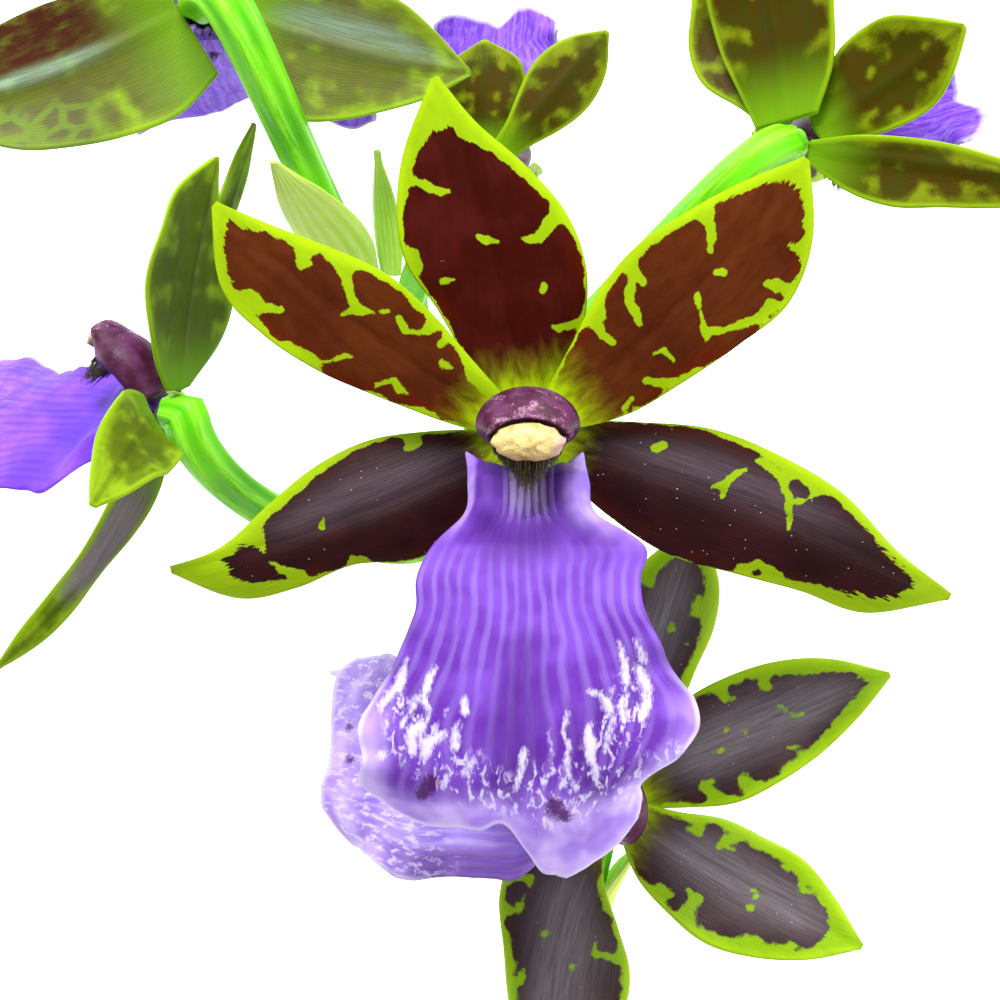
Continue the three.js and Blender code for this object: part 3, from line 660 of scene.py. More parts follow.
@dataclass(frozen=True)
class Column:
    """The arched column, hooded above and hollow below, with its anther cap."""

    length: float = 10.5
    root: Triple = (0, -0.9, 2.5)
    rise: Pair = (60, 112)
    half: Row = (2.2, 3.2, 4.3, 4.9, 5.1, 4.9, 4.1)
    top: Row = (1.8, 2.5, 3.1, 3.6, 3.8, 3.4, 2.4)
    low: Row = (1.4, 1.3, 1.3, 1.5, 1.9, 2.4, 2.2)
    cap: Triple = (3.5, 1.9, 1.5)
    cap_gap: float = 0.35
    cap_lower: float = 0.2
    hood: float = 1.7

    def axis(self, u: Array) -> tuple[Array, Array, Array]:
        """Points and directions of the column's middle line at u, and its way to the top.

        Args:
            u: from the column's foot to its end.

        Returns:
            Three arrays of rows in the flower's frame.
        """
        fine = np.linspace(0, 1, MIDRIB_STEPS + 1)
        rise = np.radians(between(self.rise, (fine[1:] + fine[:-1]) / 2))
        step = self.length / MIDRIB_STEPS
        y = np.concatenate(([0], np.cumsum(np.cos(rise)))) * step + self.root[1]
        z = np.concatenate(([0], np.cumsum(np.sin(rise)))) * step + self.root[2]
        turn = np.radians(between(self.rise, u))
        none = np.zeros_like(u)
        point = np.column_stack((none + self.root[0], np.interp(u, fine, y), np.interp(u, fine, z)))
        return (point, np.column_stack((none, np.cos(turn), np.sin(turn))),
                np.column_stack((none, np.sin(turn), -np.cos(turn))))

    def body(self, steps: int, sides: int) -> Shape:
        """The column with a hollow under its hood's rim.

        Args:
            steps: rings along it.
            sides: points round a ring.

        Returns:
            The closed shape. u runs along it and v round it.
        """
        u = np.concatenate((np.linspace(0, 1, steps + 1), (1.0, 1.0, 1.0, 0.99)))
        inset = np.concatenate((np.ones(steps + 1), (0.97, 0.89, 0.82, 0.79)))
        inset[0] = 0.02
        narrow = np.maximum(inset, 0.87 * (inset > 0.5))
        forward = np.concatenate((smooth(0.78, 1, u[:steps + 1]) ** 2, (1.08, 1.0, 0.5, 0.0)))
        point, along, top = self.axis(u)
        turn = FULL_TURN * np.arange(sides) / sides
        sine = np.sin(turn)[None, :]
        high = through(self.top, u)[:, None] * np.maximum(sine, 0)
        low = through(self.low, u)[:, None] * np.minimum(sine, 0)
        height = (high + low) * inset[:, None]
        sideways = through(self.half, u)[:, None] * np.cos(turn)[None, :] * narrow[:, None]
        brow = self.hood * forward[:, None] * smooth(-0.5, 0.5, sine)
        rings = (point[:, None, :] + top[:, None, :] * height[:, :, None]
                 + along[:, None, :] * brow[:, :, None])
        rings[:, :, 0] = sideways
        points = rings.reshape(-1, 3)
        count = len(u)
        tail = count * sides
        faces = [tuple(quad[::-1]) for quad in grid_faces(count, sides, True).tolist()]
        faces += [(tail - sides + j, tail - sides + (j + 1) % sides, tail) for j in range(sides)]
        faces.append(tuple(range(sides)))
        where = np.append(np.repeat(u, sides), 0.99)
        around = np.append(np.tile(np.sin(turn), count), 0)
        deep = np.append(np.repeat(np.arange(count) > steps + 2, sides), True)
        points = np.vstack((points, points[-sides:].mean(axis=0)))
        return Shape(points, outward(points, faces), where, around, np.where(deep, -1.0, 1.0))

    def anther_cap(self, around: int, rows: int) -> Shape:
        """The lumpy cap that closes the column's end.

        Args:
            around: points round it.
            rows: rings from pole to pole.

        Returns:
            The closed shape. u runs from pole to pole and v round it.
        """
        point, along, top = (found[0] for found in self.axis(np.array([1.0])))
        side = np.cross(top, along)
        half_width, half_height, half_depth = self.cap
        centre = point + along * (half_depth + self.cap_gap) - top * self.cap_lower
        polar, turn = flat_grid(np.pi * np.arange(1, rows) / rows, FULL_TURN * np.arange(around) / around)
        x, y, z = np.sin(polar) * np.cos(turn), np.sin(polar) * np.sin(turn), np.cos(polar)
        lumps = 1 - 0.16 * bell(x, -0.05, 0.12) * smooth(0.1, 0.8, -z)
        lumps += 0.05 * np.sin(7 * x + 2) * np.sin(9 * y + 1) + 0.035 * np.sin(15 * x) * np.sin(13 * y)
        ball = np.vstack((np.column_stack((x, y, z)) * lumps[:, None], (0, 0, 1), (0, 0, -1)))
        points = centre + (ball[:, :1] * side * half_width + ball[:, 1:2] * top * half_height
                           - ball[:, 2:] * along * half_depth)
        north, south, last = len(ball) - 2, len(ball) - 1, (rows - 2) * around
        faces = [tuple(quad) for quad in grid_faces(rows - 1, around, True).tolist()]
        for j in range(around):
            k = (j + 1) % around
            faces += [(north, j, k), (south, last + k, last + j)]
        return Shape(points, outward(points, faces), ball[:, 0], ball[:, 1], ball[:, 2])


COLUMN = Column()


def outward(points: Array, faces: list[tuple[int, ...]]) -> list[tuple[int, ...]]:
    """The faces of a closed shape, turned over if they face inwards.

    Args:
        points: rows of x, y and z.
        faces: indices of each face.

    Returns:
        The faces, facing outwards.
    """
    volume = 0.0
    for face in faces:
        first = points[face[0]]
        for second, third in zip(face[1:], face[2:]):
            volume += float(np.dot(first, np.cross(points[second], points[third])))
    return [face[::-1] for face in faces] if volume < 0 else faces


# ---------------------------------------------------------------- shader tools

class Weave:
    """A node tree under construction, with a short call for each kind of node."""

    def __init__(self, tree: bpy.types.NodeTree, effects: Effects | None = None) -> None:
        """Starts on a tree that may use the shared effects."""
        self.tree, self.effects = tree, effects

    def node(self, kind: str, feeds: dict | None = None, **settings: object) -> bpy.types.Node:
        """A new node.

        Args:
            kind: its type in Blender.
            feeds: sockets or values for some of its inputs, by name or number.
            settings: values of its own settings.

        Returns:
            The node.
        """
        made = self.tree.nodes.new(kind)
        for name, value in settings.items():
            setattr(made, name, value)
        for name, value in (feeds or {}).items():
            self.feed(made.inputs[name], value)
        return made

    def feed(self, socket: Socket, value: object) -> None:
        """Links a socket to another, or sets its value.

        Args:
            socket: that takes it.
            value: another socket, or a plain value.
        """
        if isinstance(value, bpy.types.NodeSocket):
            self.tree.links.new(value, socket)
        else:
            socket.default_value = value

    def math(self, operation: str, *values: object, clamp: bool = False) -> Socket:
        """A Math node's result."""
        feeds = dict(enumerate(values))
        return self.node("ShaderNodeMath", feeds, operation=operation, use_clamp=clamp).outputs[0]

    def times(self, first: object, *others: object) -> Socket:
        """The product of two or more values.

        Args:
            first: a socket or a number.
            others: more of them.

        Returns:
            The product's socket.
        """
        for other in others:
            first = self.math("MULTIPLY", first, other)
        return first

    def plus(self, first: object, second: object) -> Socket:
        """The sum of two values."""
        return self.math("ADD", first, second)

    def swing(self, value: Socket, size: object) -> Socket:
        """A value around one half, moved to swing round zero and made larger by a size."""
        return self.times(self.math("SUBTRACT", value, 0.5), size)

    def split(self, vector: Socket) -> tuple[Socket, ...]:
        """The three numbers of a vector."""
        return tuple(self.node("ShaderNodeSeparateXYZ", {0: vector}).outputs)

    def join(self, *values: object) -> Socket:
        """A vector of three numbers."""
        return self.node("ShaderNodeCombineXYZ", dict(enumerate(values))).outputs[0]

    def stretched(self, first: object, second: object, pulls: Triple) -> Socket:
        """A place made of two values, each times its own pull, at a height of its own."""
        return self.join(self.times(first, pulls[0]), self.times(second, pulls[1]), pulls[2])

    def mix(self, factor: object, first: object, second: object) -> Socket:
        """A mix of two colours."""
        return self.node("ShaderNodeMix", {0: factor, 6: first, 7: second}, data_type="RGBA").outputs[2]

    def blend(self, factor: object, codes: tuple[str, str]) -> Socket:
        """A mix of two colours given as hex codes."""
        return self.mix(factor, tone(codes[0]), tone(codes[1]))

    def paint(self, base: object, code: str, mask: object, share: float = 1) -> Socket:
        """A colour given as a hex code, laid over a base by a share of a mask."""
        return self.mix(mask if share == 1 else self.times(mask, share), base, tone(code))

    def step(self, value: object, low: object, high: object, least: float = 0, most: float = 1) -> Socket:
        """A soft step from least at low to most at high."""
        feeds = dict(enumerate((value, low, high, least, most)))
        return self.node("ShaderNodeMapRange", feeds, interpolation_type="SMOOTHSTEP").outputs[0]

    def noise(self, vector: Socket, scale: float, detail: float = 2, rough: float = 0.5,
              bend: float = 0) -> Socket:
        """A Noise Texture's value, around one half.

        Args:
            vector: the place that it is read at.
            scale: how many lumps a millimetre holds.
            detail: octaves of finer noise.
            rough: how strong those are.
            bend: how far the place is pushed.

        Returns:
            The value's socket.
        """
        return self.node("ShaderNodeTexNoise", {
            "Vector": vector, "Scale": scale, "Detail": detail, "Roughness": rough,
            "Distortion": bend}).outputs[0]

    def fibres(self, first: object, second: object, pulls: Triple, detail: float,
               rough: float = 0.5) -> Socket:
        """Noise drawn out by two pulls, around one half."""
        return self.noise(self.stretched(first, second, pulls), 1.0, detail, rough)

    def value(self, name: str, output: str = "Fac") -> Socket:
        """A number stored on the mesh."""
        return self.node("ShaderNodeAttribute", attribute_name=name).outputs[output]

    def three(self, name: str) -> tuple[Socket, ...]:
        """Three numbers stored on the mesh."""
        return self.split(self.value(name, "Vector"))

    def millimetres(self) -> Socket:
        """The place on the object, in millimetres."""
        place = self.node("ShaderNodeTexCoord").outputs["Object"]
        feeds = {0: place, 1: (1 / MILLIMETRE,) * 3}
        return self.node("ShaderNodeVectorMath", feeds, operation="MULTIPLY").outputs[0]

    def use(self, name: str, **values: object) -> Socket:
        """What a shared effect puts out for its values."""
        return self.node("ShaderNodeGroup", values, node_tree=self.effects[name]).outputs[0]

    def stored(self, geometry: Socket, name: str, value: Socket) -> Socket:
        """Geometry with one number stored for each point.

        Args:
            geometry: to store it on.
            name: that it is read by.
            value: the number.

        Returns:
            The geometry.
        """
        feeds = {"Geometry": geometry, "Name": name, "Value": value}
        return self.node("GeometryNodeStoreNamedAttribute", feeds, data_type="FLOAT",
                         domain="POINT").outputs[0]

    def named(self, name: str, kind: str = "FLOAT") -> Socket:
        """What is stored for each point of the geometry under a name."""
        return self.node("GeometryNodeInputNamedAttribute", {"Name": name}, data_type=kind).outputs[0]


def effect(name: str, inputs: dict[str, float | None],
           output: str) -> tuple[Weave, list[Socket], Callable[[Socket], None]]:
    """An empty shader node group for an effect that several finishes share.

    Args:
        name: of the group.
        inputs: each input's name and first value, or None for a vector.
        output: the name of what it puts out.

    Returns:
        Its tree under construction, its inputs, and a call that takes the result.
    """
    tree = bpy.data.node_groups.new(name, "ShaderNodeTree")
    for label, value in inputs.items():
        kind = "NodeSocketVector" if value is None else "NodeSocketFloat"
        socket = tree.interface.new_socket(label, in_out="INPUT", socket_type=kind)
        if value is not None:
            socket.default_value = value
    tree.interface.new_socket(output, in_out="OUTPUT", socket_type="NodeSocketFloat")
    weave = Weave(tree)
    source, sink = weave.node("NodeGroupInput"), weave.node("NodeGroupOutput")
    return weave, source.outputs[:len(inputs)], lambda socket: weave.feed(sink.inputs[0], socket)


def ragged_patch() -> bpy.types.NodeTree:
    """A mask of the places where a field is above zero, with a ragged, grainy edge."""
    weave, (depth, place, lobes, grain, soft), put = effect(
        "ragged patch", {"Field": 0, "Place": None, "Lobes": 0.5, "Grain": 0.15, "Soft": 0.06}, "Mask")
    broad = weave.swing(weave.noise(place, 0.7), weave.times(lobes, 2))
    fine = weave.swing(weave.noise(place, 4.5, 3, 0.6), weave.times(grain, 2))
    put(weave.step(weave.plus(weave.plus(depth, broad), fine), weave.times(soft, -1), soft))
    return weave.tree


def length_lines() -> bpy.types.NodeTree:
    """Fine raised lines that run the length of a blade, from 0 to 1."""
    weave, (along, across, lines, wander), put = effect(
        "length lines", {"Along": 0, "Across": 0, "Lines": 20, "Wander": 0.3}, "Height")
    drift = weave.fibres(along, across, (6, 5, 0), 3)
    place = weave.plus(weave.times(across, lines), weave.times(drift, wander, lines))
    put(weave.math("MULTIPLY_ADD", weave.math("SINE", weave.times(place, FULL_TURN)), 0.5, 0.5))
    return weave.tree


def sparkle() -> bpy.types.NodeTree:
    """Scattered bright dots: painted glints, as on cells that catch the light."""
    weave, (place, scale, share, size), put = effect(
        "sparkle", {"Place": None, "Scale": 1.2, "Share": 0.2, "Size": 0.1}, "Mask")
    cells = weave.node("ShaderNodeTexVoronoi", {"Vector": place, "Scale": scale})
    chosen = weave.math("LESS_THAN", weave.split(cells.outputs["Color"])[0], share)
    put(weave.times(weave.math("LESS_THAN", cells.outputs["Distance"], size), chosen))
    return weave.tree


def shared_effects() -> Effects:
    """The shader groups that the finishes share, by name."""
    return {"patch": ragged_patch(), "lines": length_lines(), "painted_glints": sparkle()}


# ---------------------------------------------------------------- finishes

@dataclass(frozen=True)
class Coat:
    """What a finish gives its shader. A height of 1 stands up by depth, in millimetres."""

    colour: Socket
    roughness: Socket | float
    height: Socket | None = None
    depth: float = 0
    constants: dict[str, object] | None = None


class Finish:
    """A finish that is made as a material."""

    name: str

    def coat(self, weave: Weave) -> Coat:
        """What the finish gives its shader."""
        raise NotImplementedError

    def material(self, effects: Effects | None = None) -> bpy.types.Material:
        """The finish as a material.

        Args:
            effects: the shared shader groups.

        Returns:
            The material.
        """
        material = bpy.data.materials.new(self.name)
        material.use_nodes = True
        weave = Weave(material.node_tree, effects)
        coat = self.coat(weave)
        shader = material.node_tree.nodes["Principled BSDF"].inputs
        feeds = {"Base Color": coat.colour, "Roughness": coat.roughness, **(coat.constants or {})}
        for name, value in feeds.items():
            weave.feed(shader[name], value)
        if coat.height is not None:
            feeds = {"Distance": coat.depth * MILLIMETRE, "Height": coat.height}
            weave.feed(shader["Normal"], weave.node("ShaderNodeBump", feeds).outputs[0])
        return material


@dataclass(frozen=True)
class TepalFinish(Finish):
    """A tepal's finish: dark patches on green in front, and a softer olive back."""

    name: str
    dark: tuple[str, str, str]
    green: tuple[str, str]
    back: tuple[str, str, str]
    # the colour of the painted sheen, a grey reflection laid over the tepal
    painted_sheen: str = "#756a72"
    glow: Pair = (0.2, 0.02)
    soft: float = 0.07
    back_soft: float = 0.6
    lobes: float = 0.45
    tip_streaks: float = 0.5
    roughness: float = 0.48
    gloss: float = 0.01
    # share of the face that gets painted glints
    painted_glints: float = 0.0
    netted: bool = False
    line_depth: float = 0.02

    def coat(self, weave: Weave) -> Coat:
        """What it gives its shader. It reads place, flat, tint and green on its mesh.

        Args:
            weave: the material's tree.

        Returns:
            The colour, roughness and height.
        """
        place = weave.millimetres()
        u, v, face = weave.three("place")
        s, t, edge = weave.three("flat")
        # the first of these three is how much painted sheen each point gets
        painted_sheen, net, dusk = weave.three("sheen_net_and_dusk")
        close = weave.fibres(s, t, TEPAL_CLOUDS, 4)
        fibre = weave.fibres(s, t, TEPAL_FIBRES, 4, 0.6)
        streaks = weave.swing(weave.fibres(s, t, TEPAL_STREAKS, 3, 0.65),
                              weave.step(u, 0.62, 0.9, 0, self.tip_streaks * 4))
        depth = weave.plus(weave.value("green"), streaks)
        green_front, green_back = (
            weave.use("patch", Field=depth, Place=place, Lobes=self.lobes, Grain=grain, Soft=soft)
            for grain, soft in ((0.15, self.soft), (0.3, self.back_soft)))

        front = self.dark_face(weave, place, close, edge)
        # painted sheen: a grey reflection laid over the front in fibrous streaks
        front = weave.paint(front, self.painted_sheen, weave.times(painted_sheen, weave.step(fibre, 0.25, 0.75, 0.5, 1)))
        glow = weave.step(weave.plus(u, weave.swing(close, 0.12)), *self.glow)
        front = weave.paint(front, BASE_OLIVE, glow, 0.9)
        front = weave.paint(front, BASE_GREEN, weave.math("POWER", glow, 3.0))
        green = weave.blend(weave.step(edge, 0.0, 1.6), self.green)
        green = weave.paint(green, GREEN_SHADE, weave.step(close, 0.4, 0.8, 0, 0.22))
        front = weave.mix(green_front, front, green)
        # painted glints: bright dots on the dark face, as on cells that catch the light
        if self.painted_glints:
            glint = weave.use("painted_glints", Place=place, Share=self.painted_glints, Scale=1.9, Size=0.09)
            glint = weave.times(glint, weave.math("SUBTRACT", 1.0, green_front))
            front = weave.paint(front, GLINT_COLOUR, glint, 0.7)

        back = self.back_face(weave, green_back, place, (t, edge), close)
        back = weave.paint(back, BACK_FOOT, weave.step(u, 0.3, 0.0, 0, 0.85))
        back = weave.paint(back, BACK_DUSK, weave.times(dusk, weave.step(close, 0.25, 0.6, 0.6, 1)))
        if self.netted:
            back = self.net_over(weave, back, net, (s, t))
        # painted sheen on the back as well
        back = weave.paint(back, self.painted_sheen, weave.times(painted_sheen, weave.step(fibre, 0.3, 0.68, 0.35, 1)))

        lines = weave.use("lines", Along=u, Across=v, Lines=22.0, Wander=0.14)
        return Coat(weave.mix(weave.math("GREATER_THAN", face, 0.0), back, front),
                    weave.step(close, 0.2, 0.8, self.roughness - 0.06, self.roughness + 0.08),
                    weave.plus(weave.times(lines, 0.4), weave.times(fibre, 1.4)), self.line_depth,
                    {"Specular IOR Level": self.gloss})

    def dark_face(self, weave: Weave, place: Socket, close: Socket, edge: Socket) -> Socket:
        """The front's dark colour, redder near the edge and cloudy along its length.

        Args:
            weave: the material's tree.
            place: in millimetres.
            close: fine clouds.
            edge: millimetres from the edge.

        Returns:
            The colour.
        """
        broad = weave.noise(place, 0.16, 3)
        dark = weave.blend(weave.step(broad, 0.38, 0.62), self.dark[:2])
        near = weave.times(weave.step(edge, 2.4, 0.2), weave.step(broad, 0.62, 0.42))
        return weave.paint(weave.paint(dark, self.dark[2], near), DARK_SHADE,
                           weave.step(close, 0.35, 0.7, 0, 0.26))

    def back_face(self, weave: Weave, mask: Socket, place: Socket, flat: Two, close: Socket) -> Socket:
        """The back's colour: soft patches, a darker midrib and a green edge.

        Args:
            weave: the material's tree.
            mask: 1 where the tepal is green.
            place: in millimetres.
            flat: across the tepal and from its edge, in millimetres.
            close: fine clouds.

        Returns:
            The colour.
        """
        across, edge = flat
        back = weave.blend(mask, self.back[:2])
        back = weave.paint(back, self.back[2], weave.step(weave.noise(place, 0.3), 0.42, 0.66, 0, 0.7))
        back = weave.paint(back, BACK_MIDRIB, weave.step(weave.math("ABSOLUTE", across), 0.5, 0.1, 0, 0.4))
        back = weave.paint(back, BACK_SHADE, weave.step(close, 0.4, 0.8, 0, 0.25))
        return weave.paint(back, self.green[1], weave.step(edge, 0.75, 0.15, 0, 0.8))

    @staticmethod
    def net_over(weave: Weave, back: Socket, net: Socket, flat: Two) -> Socket:
        """A yellow-green net round dusky rings, laid over the back where it is netted.

        Args:
            weave: the material's tree.
            back: the colour under the net.
            net: 1 where it is netted.
            flat: along and across the tepal, in millimetres.

        Returns:
            The colour.
        """
        cells = weave.node("ShaderNodeTexVoronoi", {
            "Vector": weave.stretched(*flat, NET_PULLS), "Scale": 0.42}, feature="DISTANCE_TO_EDGE")
        cords = weave.step(cells.outputs["Distance"], 0.2, 0.06)
        return weave.paint(weave.paint(back, NET_RING, net, 0.5), NET_CORD, weave.times(net, cords), 0.6)


@dataclass(frozen=True)
class LipFinish(Finish):
    """The lip's finish: violet with soft stripes, white feathering and deep purple spots."""

    name: str
    base: tuple[str, str] = ("#5d2799", "#7040b4")
    vein: str = "#9c84d0"
    white: str = "#ddd4ee"
    deep: str = "#471878"
    spot: str = "#470f5c"
    lobe: tuple[str, str] = ("#a584e4", "#ccb4f4")
    back: tuple[str, str] = ("#6a3ca4", "#9468cc")
    ridge: str = "#c8b8e0"
    stripes: float = 0.32
    feather: float = 1.0
    roughness: float = 0.55

    def coat(self, weave: Weave) -> Coat:
        """What it gives its shader. It reads place, flat, zone, deep, white and spot on its mesh.

        Args:
            weave: the material's tree.

        Returns:
            The colour, roughness and height.
        """
        place = weave.millimetres()
        down, v, face = weave.three("place")
        x, y, edge = weave.three("flat")
        mottled, lobe, ridge = weave.three("zone")
        broad = weave.noise(place, 0.22)
        streaks = weave.fibres(v, down, LIP_STREAKS, 4, 0.6)
        vein = self.vein_mask(weave, (x, y), (down, v), streaks)
        vein = weave.times(vein, weave.math("SUBTRACT", 1.0, weave.times(lobe, 0.7)))

        front = weave.blend(weave.step(broad, 0.35, 0.65), self.base)
        front = weave.paint(front, self.vein, vein, self.stripes)
        # deep violet places; on the open flower they include a painted shadow beside the throat
        deep = weave.times(weave.value("deep"), weave.step(streaks, 0.3, 0.6, 0.6, 1))
        front = weave.mix(weave.times(lobe, 0.85), weave.paint(front, self.deep, deep),
                          weave.blend(weave.step(broad, 0.4, 0.62), self.lobe))
        front = weave.paint(front, self.ridge, ridge, 0.55)
        under = weave.blend(weave.step(streaks, 0.4, 0.6), self.back)
        colour = weave.mix(weave.math("GREATER_THAN", face, 0.0), under, front)

        white = self.feather_mask(weave, (x, y), (mottled, weave.value("white")))
        margin = weave.times(weave.step(edge, 0.8, 0.1, 0, 0.6), weave.step(down, 0.45, 0.6))
        colour = weave.paint(colour, self.white, weave.math("MAXIMUM", white, margin))
        spot = weave.use("patch", Field=weave.value("spot"), Place=place, Lobes=0.6, Grain=0.7, Soft=0.4)
        return Coat(weave.paint(colour, self.spot, spot, 0.92),
                    weave.step(broad, 0.2, 0.8, self.roughness - 0.06, self.roughness + 0.1),
                    weave.plus(weave.times(vein, 0.5), streaks), 0.05,
                    SOFT_GLOSS | {"Subsurface Weight": 0.1, "Subsurface Radius": (0.0006, 0.0003, 0.0008)})

    @staticmethod
    def vein_mask(weave: Weave, flat: Two, way: Two, streaks: Socket) -> Socket:
        """Soft stripes that fan out from the throat to the edge.

        Args:
            weave: the material's tree.
            flat: millimetres across and down the lip.
            way: the share down it and the share across it.
            streaks: noise drawn out along the stripes.

        Returns:
            0 between the stripes and up to 1 on them.
        """
        wander = weave.swing(weave.fibres(*flat, LIP_WANDER, 2), 1.6)
        phase = weave.plus(weave.times(way[1], LIP_STRIPES), wander)
        wave = weave.plus(weave.math("COSINE", weave.times(phase, FULL_TURN)), weave.swing(streaks, 3.6))
        return weave.times(weave.step(wave, -0.5, 1.5), weave.step(way[0], 0.19, 0.3, 0.1, 1))

    def feather_mask(self, weave: Weave, flat: Two, fields: Two) -> Socket:
        """White streaks with feathered edges, and a fine mottle between them.

        Args:
            weave: the material's tree.
            flat: millimetres across and down the lip.
            fields: how mottled the place is, and how deep it lies in a white streak.

        Returns:
            How white each place is.
        """
        clouds = weave.noise(weave.stretched(*flat, MOTTLE_PULLS), 1.15, 4, 0.62, 0.5)
        mottle = weave.times(weave.step(clouds, 0.5, 0.62), fields[0], 0.85)
        streak = weave.use("patch", Field=fields[1], Place=weave.stretched(*flat, FEATHER_PULLS),
                           Lobes=0.7, Grain=0.55, Soft=0.3)
        return weave.times(weave.math("MAXIMUM", mottle, streak), 0.8 * self.feather)


@dataclass(frozen=True)
class ColumnFinish(Finish):
    """The column's finish: dark purple with pale pink flecks."""

    name: str = "speckled purple column"
    base: tuple[str, str] = ("#3c0f28", "#5a2a50")
    fleck: str = "#c490ae"
    hollow: str = "#4a2a18"

    def coat(self, weave: Weave) -> Coat:
        """What it gives its shader. It reads place and fleck on its mesh.

        Args:
            weave: the material's tree.

        Returns:
            The colour, roughness and height.
        """
        place = weave.millimetres()
        broad = weave.noise(place, 0.5, 3)
        fleck = weave.use("patch", Field=weave.value("fleck"), Place=place, Lobes=1.2, Grain=0.9, Soft=0.35)
        base = weave.paint(weave.blend(weave.step(broad, 0.35, 0.7), self.base), self.fleck, fleck, 0.7)
        inside = weave.math("LESS_THAN", weave.three("place")[2], 0.0)
        return Coat(weave.paint(base, self.hollow, inside), weave.step(broad, 0.2, 0.8, 0.36, 0.5),
                    weave.noise(place, 2.5, 4), 0.05, SOFT_GLOSS)


@dataclass(frozen=True)
class WaxFinish(Finish):
    """The cream anther cap's waxy finish."""

    name: str = "cream waxy cap"
    base: tuple[str, str] = ("#d8c07c", "#a8742c")
    rosy: str = "#c49ba2"

    def coat(self, weave: Weave) -> Coat:
        """What it gives its shader. It reads place on its mesh.

        Args:
            weave: the material's tree.

        Returns:
            The colour, roughness and height.
        """
        place = weave.millimetres()
        x, y, _ = weave.three("place")
        broad = weave.noise(place, 0.9, 3)
        # the second base colour is laid in random clouds and, as painted shade, towards the cap's bottom
        shade = weave.math("ADD", weave.step(broad, 0.45, 0.7, 0, 0.6), weave.step(y, -0.2, -0.9, 0, 0.5),
                           clamp=True)
        rosy = weave.step(weave.plus(x, weave.times(broad, 0.4)), 0.75, 1.1, 0, 0.6)
        return Coat(weave.paint(weave.blend(shade, self.base), self.rosy, rosy),
                    weave.step(broad, 0.3, 0.7, 0.34, 0.46), weave.noise(place, 2.2, 4, 0.6), 0.22,
                    {"Subsurface Weight": 0.15, "Subsurface Radius": (0.0012, 0.0008, 0.0004)})


@dataclass(frozen=True)
class StalkFinish(Finish):
    """The ribbed stem's and bracts' finish, with stripes along them."""

    name: str
    base: tuple[str, str]
    stripe: str
    dark: str
    lines: float
    roughness: float = 0.38
    line_depth: float = 0.08

    def coat(self, weave: Weave) -> Coat:
        """What it gives its shader. It reads along and around on its mesh.

        Args:
            weave: the material's tree.

        Returns:
            The colour, roughness and height.
        """
        along, around = weave.value("along"), weave.value("around")
        lines = weave.use("lines", Along=along, Across=around, Lines=self.lines, Wander=0.02)
        fibre = weave.fibres(along, around, STALK_FIBRES, 4, 0.6)
        broad = weave.noise(weave.millimetres(), 0.09)
        base = weave.paint(weave.blend(weave.step(broad, 0.35, 0.65), self.base), self.stripe,
                           weave.times(lines, weave.step(fibre, 0.3, 0.7)))
        return Coat(weave.paint(base, self.dark, weave.step(fibre, 0.52, 0.8, 0, 0.5)),
                    weave.step(fibre, 0.2, 0.8, self.roughness - 0.06, self.roughness + 0.12),
                    weave.plus(weave.times(lines, 0.7), weave.times(fibre, 0.8)), self.line_depth, SOFT_GLOSS)


@dataclass(frozen=True)
class PlainFinish(Finish):
    """A finish of two near colours in soft clouds."""

    name: str
    base: tuple[str, str]
    clouds: Pair
    spread: Pair
    roughness: float
    shine: float = 0

    def coat(self, weave: Weave) -> Coat:
        """What it gives its shader. It reads nothing on its mesh.

        Args:
            weave: the material's tree.

        Returns:
            The colour, roughness and height.
        """
        shade = weave.step(weave.noise(weave.millimetres(), *self.clouds), *self.spread)
        lit = {"Emission Color": (1, 1, 1, 1), "Emission Strength": self.shine} if self.shine else {}
        return Coat(weave.blend(shade, self.base), self.roughness, constants=lit)


# how noise is drawn out along and across a piece, and the height that it is read at
TEPAL_CLOUDS, TEPAL_FIBRES, TEPAL_STREAKS = (0.4, 1.1, 0.0), (0.16, 2.4, 5.0), (0.35, 2.6, 3.0)
LIP_STREAKS, LIP_WANDER = (15.0, 4.0, 0.0), (0.1, 0.1, 0.0)
MOTTLE_PULLS, FEATHER_PULLS, NET_PULLS = (1.15, 0.62, 0.0), (0.8, 0.35, 0.0), (0.75, 1.0, 0.0)
STALK_FIBRES = (9.0, 46.0, 0.0)

SOFT_GLOSS = {"Specular IOR Level": 0.2}
BASE_OLIVE, BASE_GREEN = "#76760a", "#a0c40c"       # the glow at a tepal's foot, in front
# the third is the colour of the painted glints
GREEN_SHADE, DARK_SHADE, GLINT_COLOUR = "#5c8204", "#1c0604", "#e9dfe6"
BACK_FOOT, BACK_DUSK = "#66940a", "#431d0e"
BACK_MIDRIB, BACK_SHADE = "#2c3202", "#2e3a02"
NET_RING, NET_CORD = "#5c5640", "#6a8a26"

BRIGHT = ("#8fae0e", "#7f9c0b")
OLIVE_BACK = ("#4b4a08", "#7d9c10", "#3c3d05")
WARM_PETAL = TepalFinish("red-brown petal", ("#441b0a", "#4d220b", "#571b06"), BRIGHT, OLIVE_BACK)
WARM_DORSAL = TepalFinish("maroon sepal", ("#330a05", "#3e100c", "#491203"), BRIGHT, OLIVE_BACK)
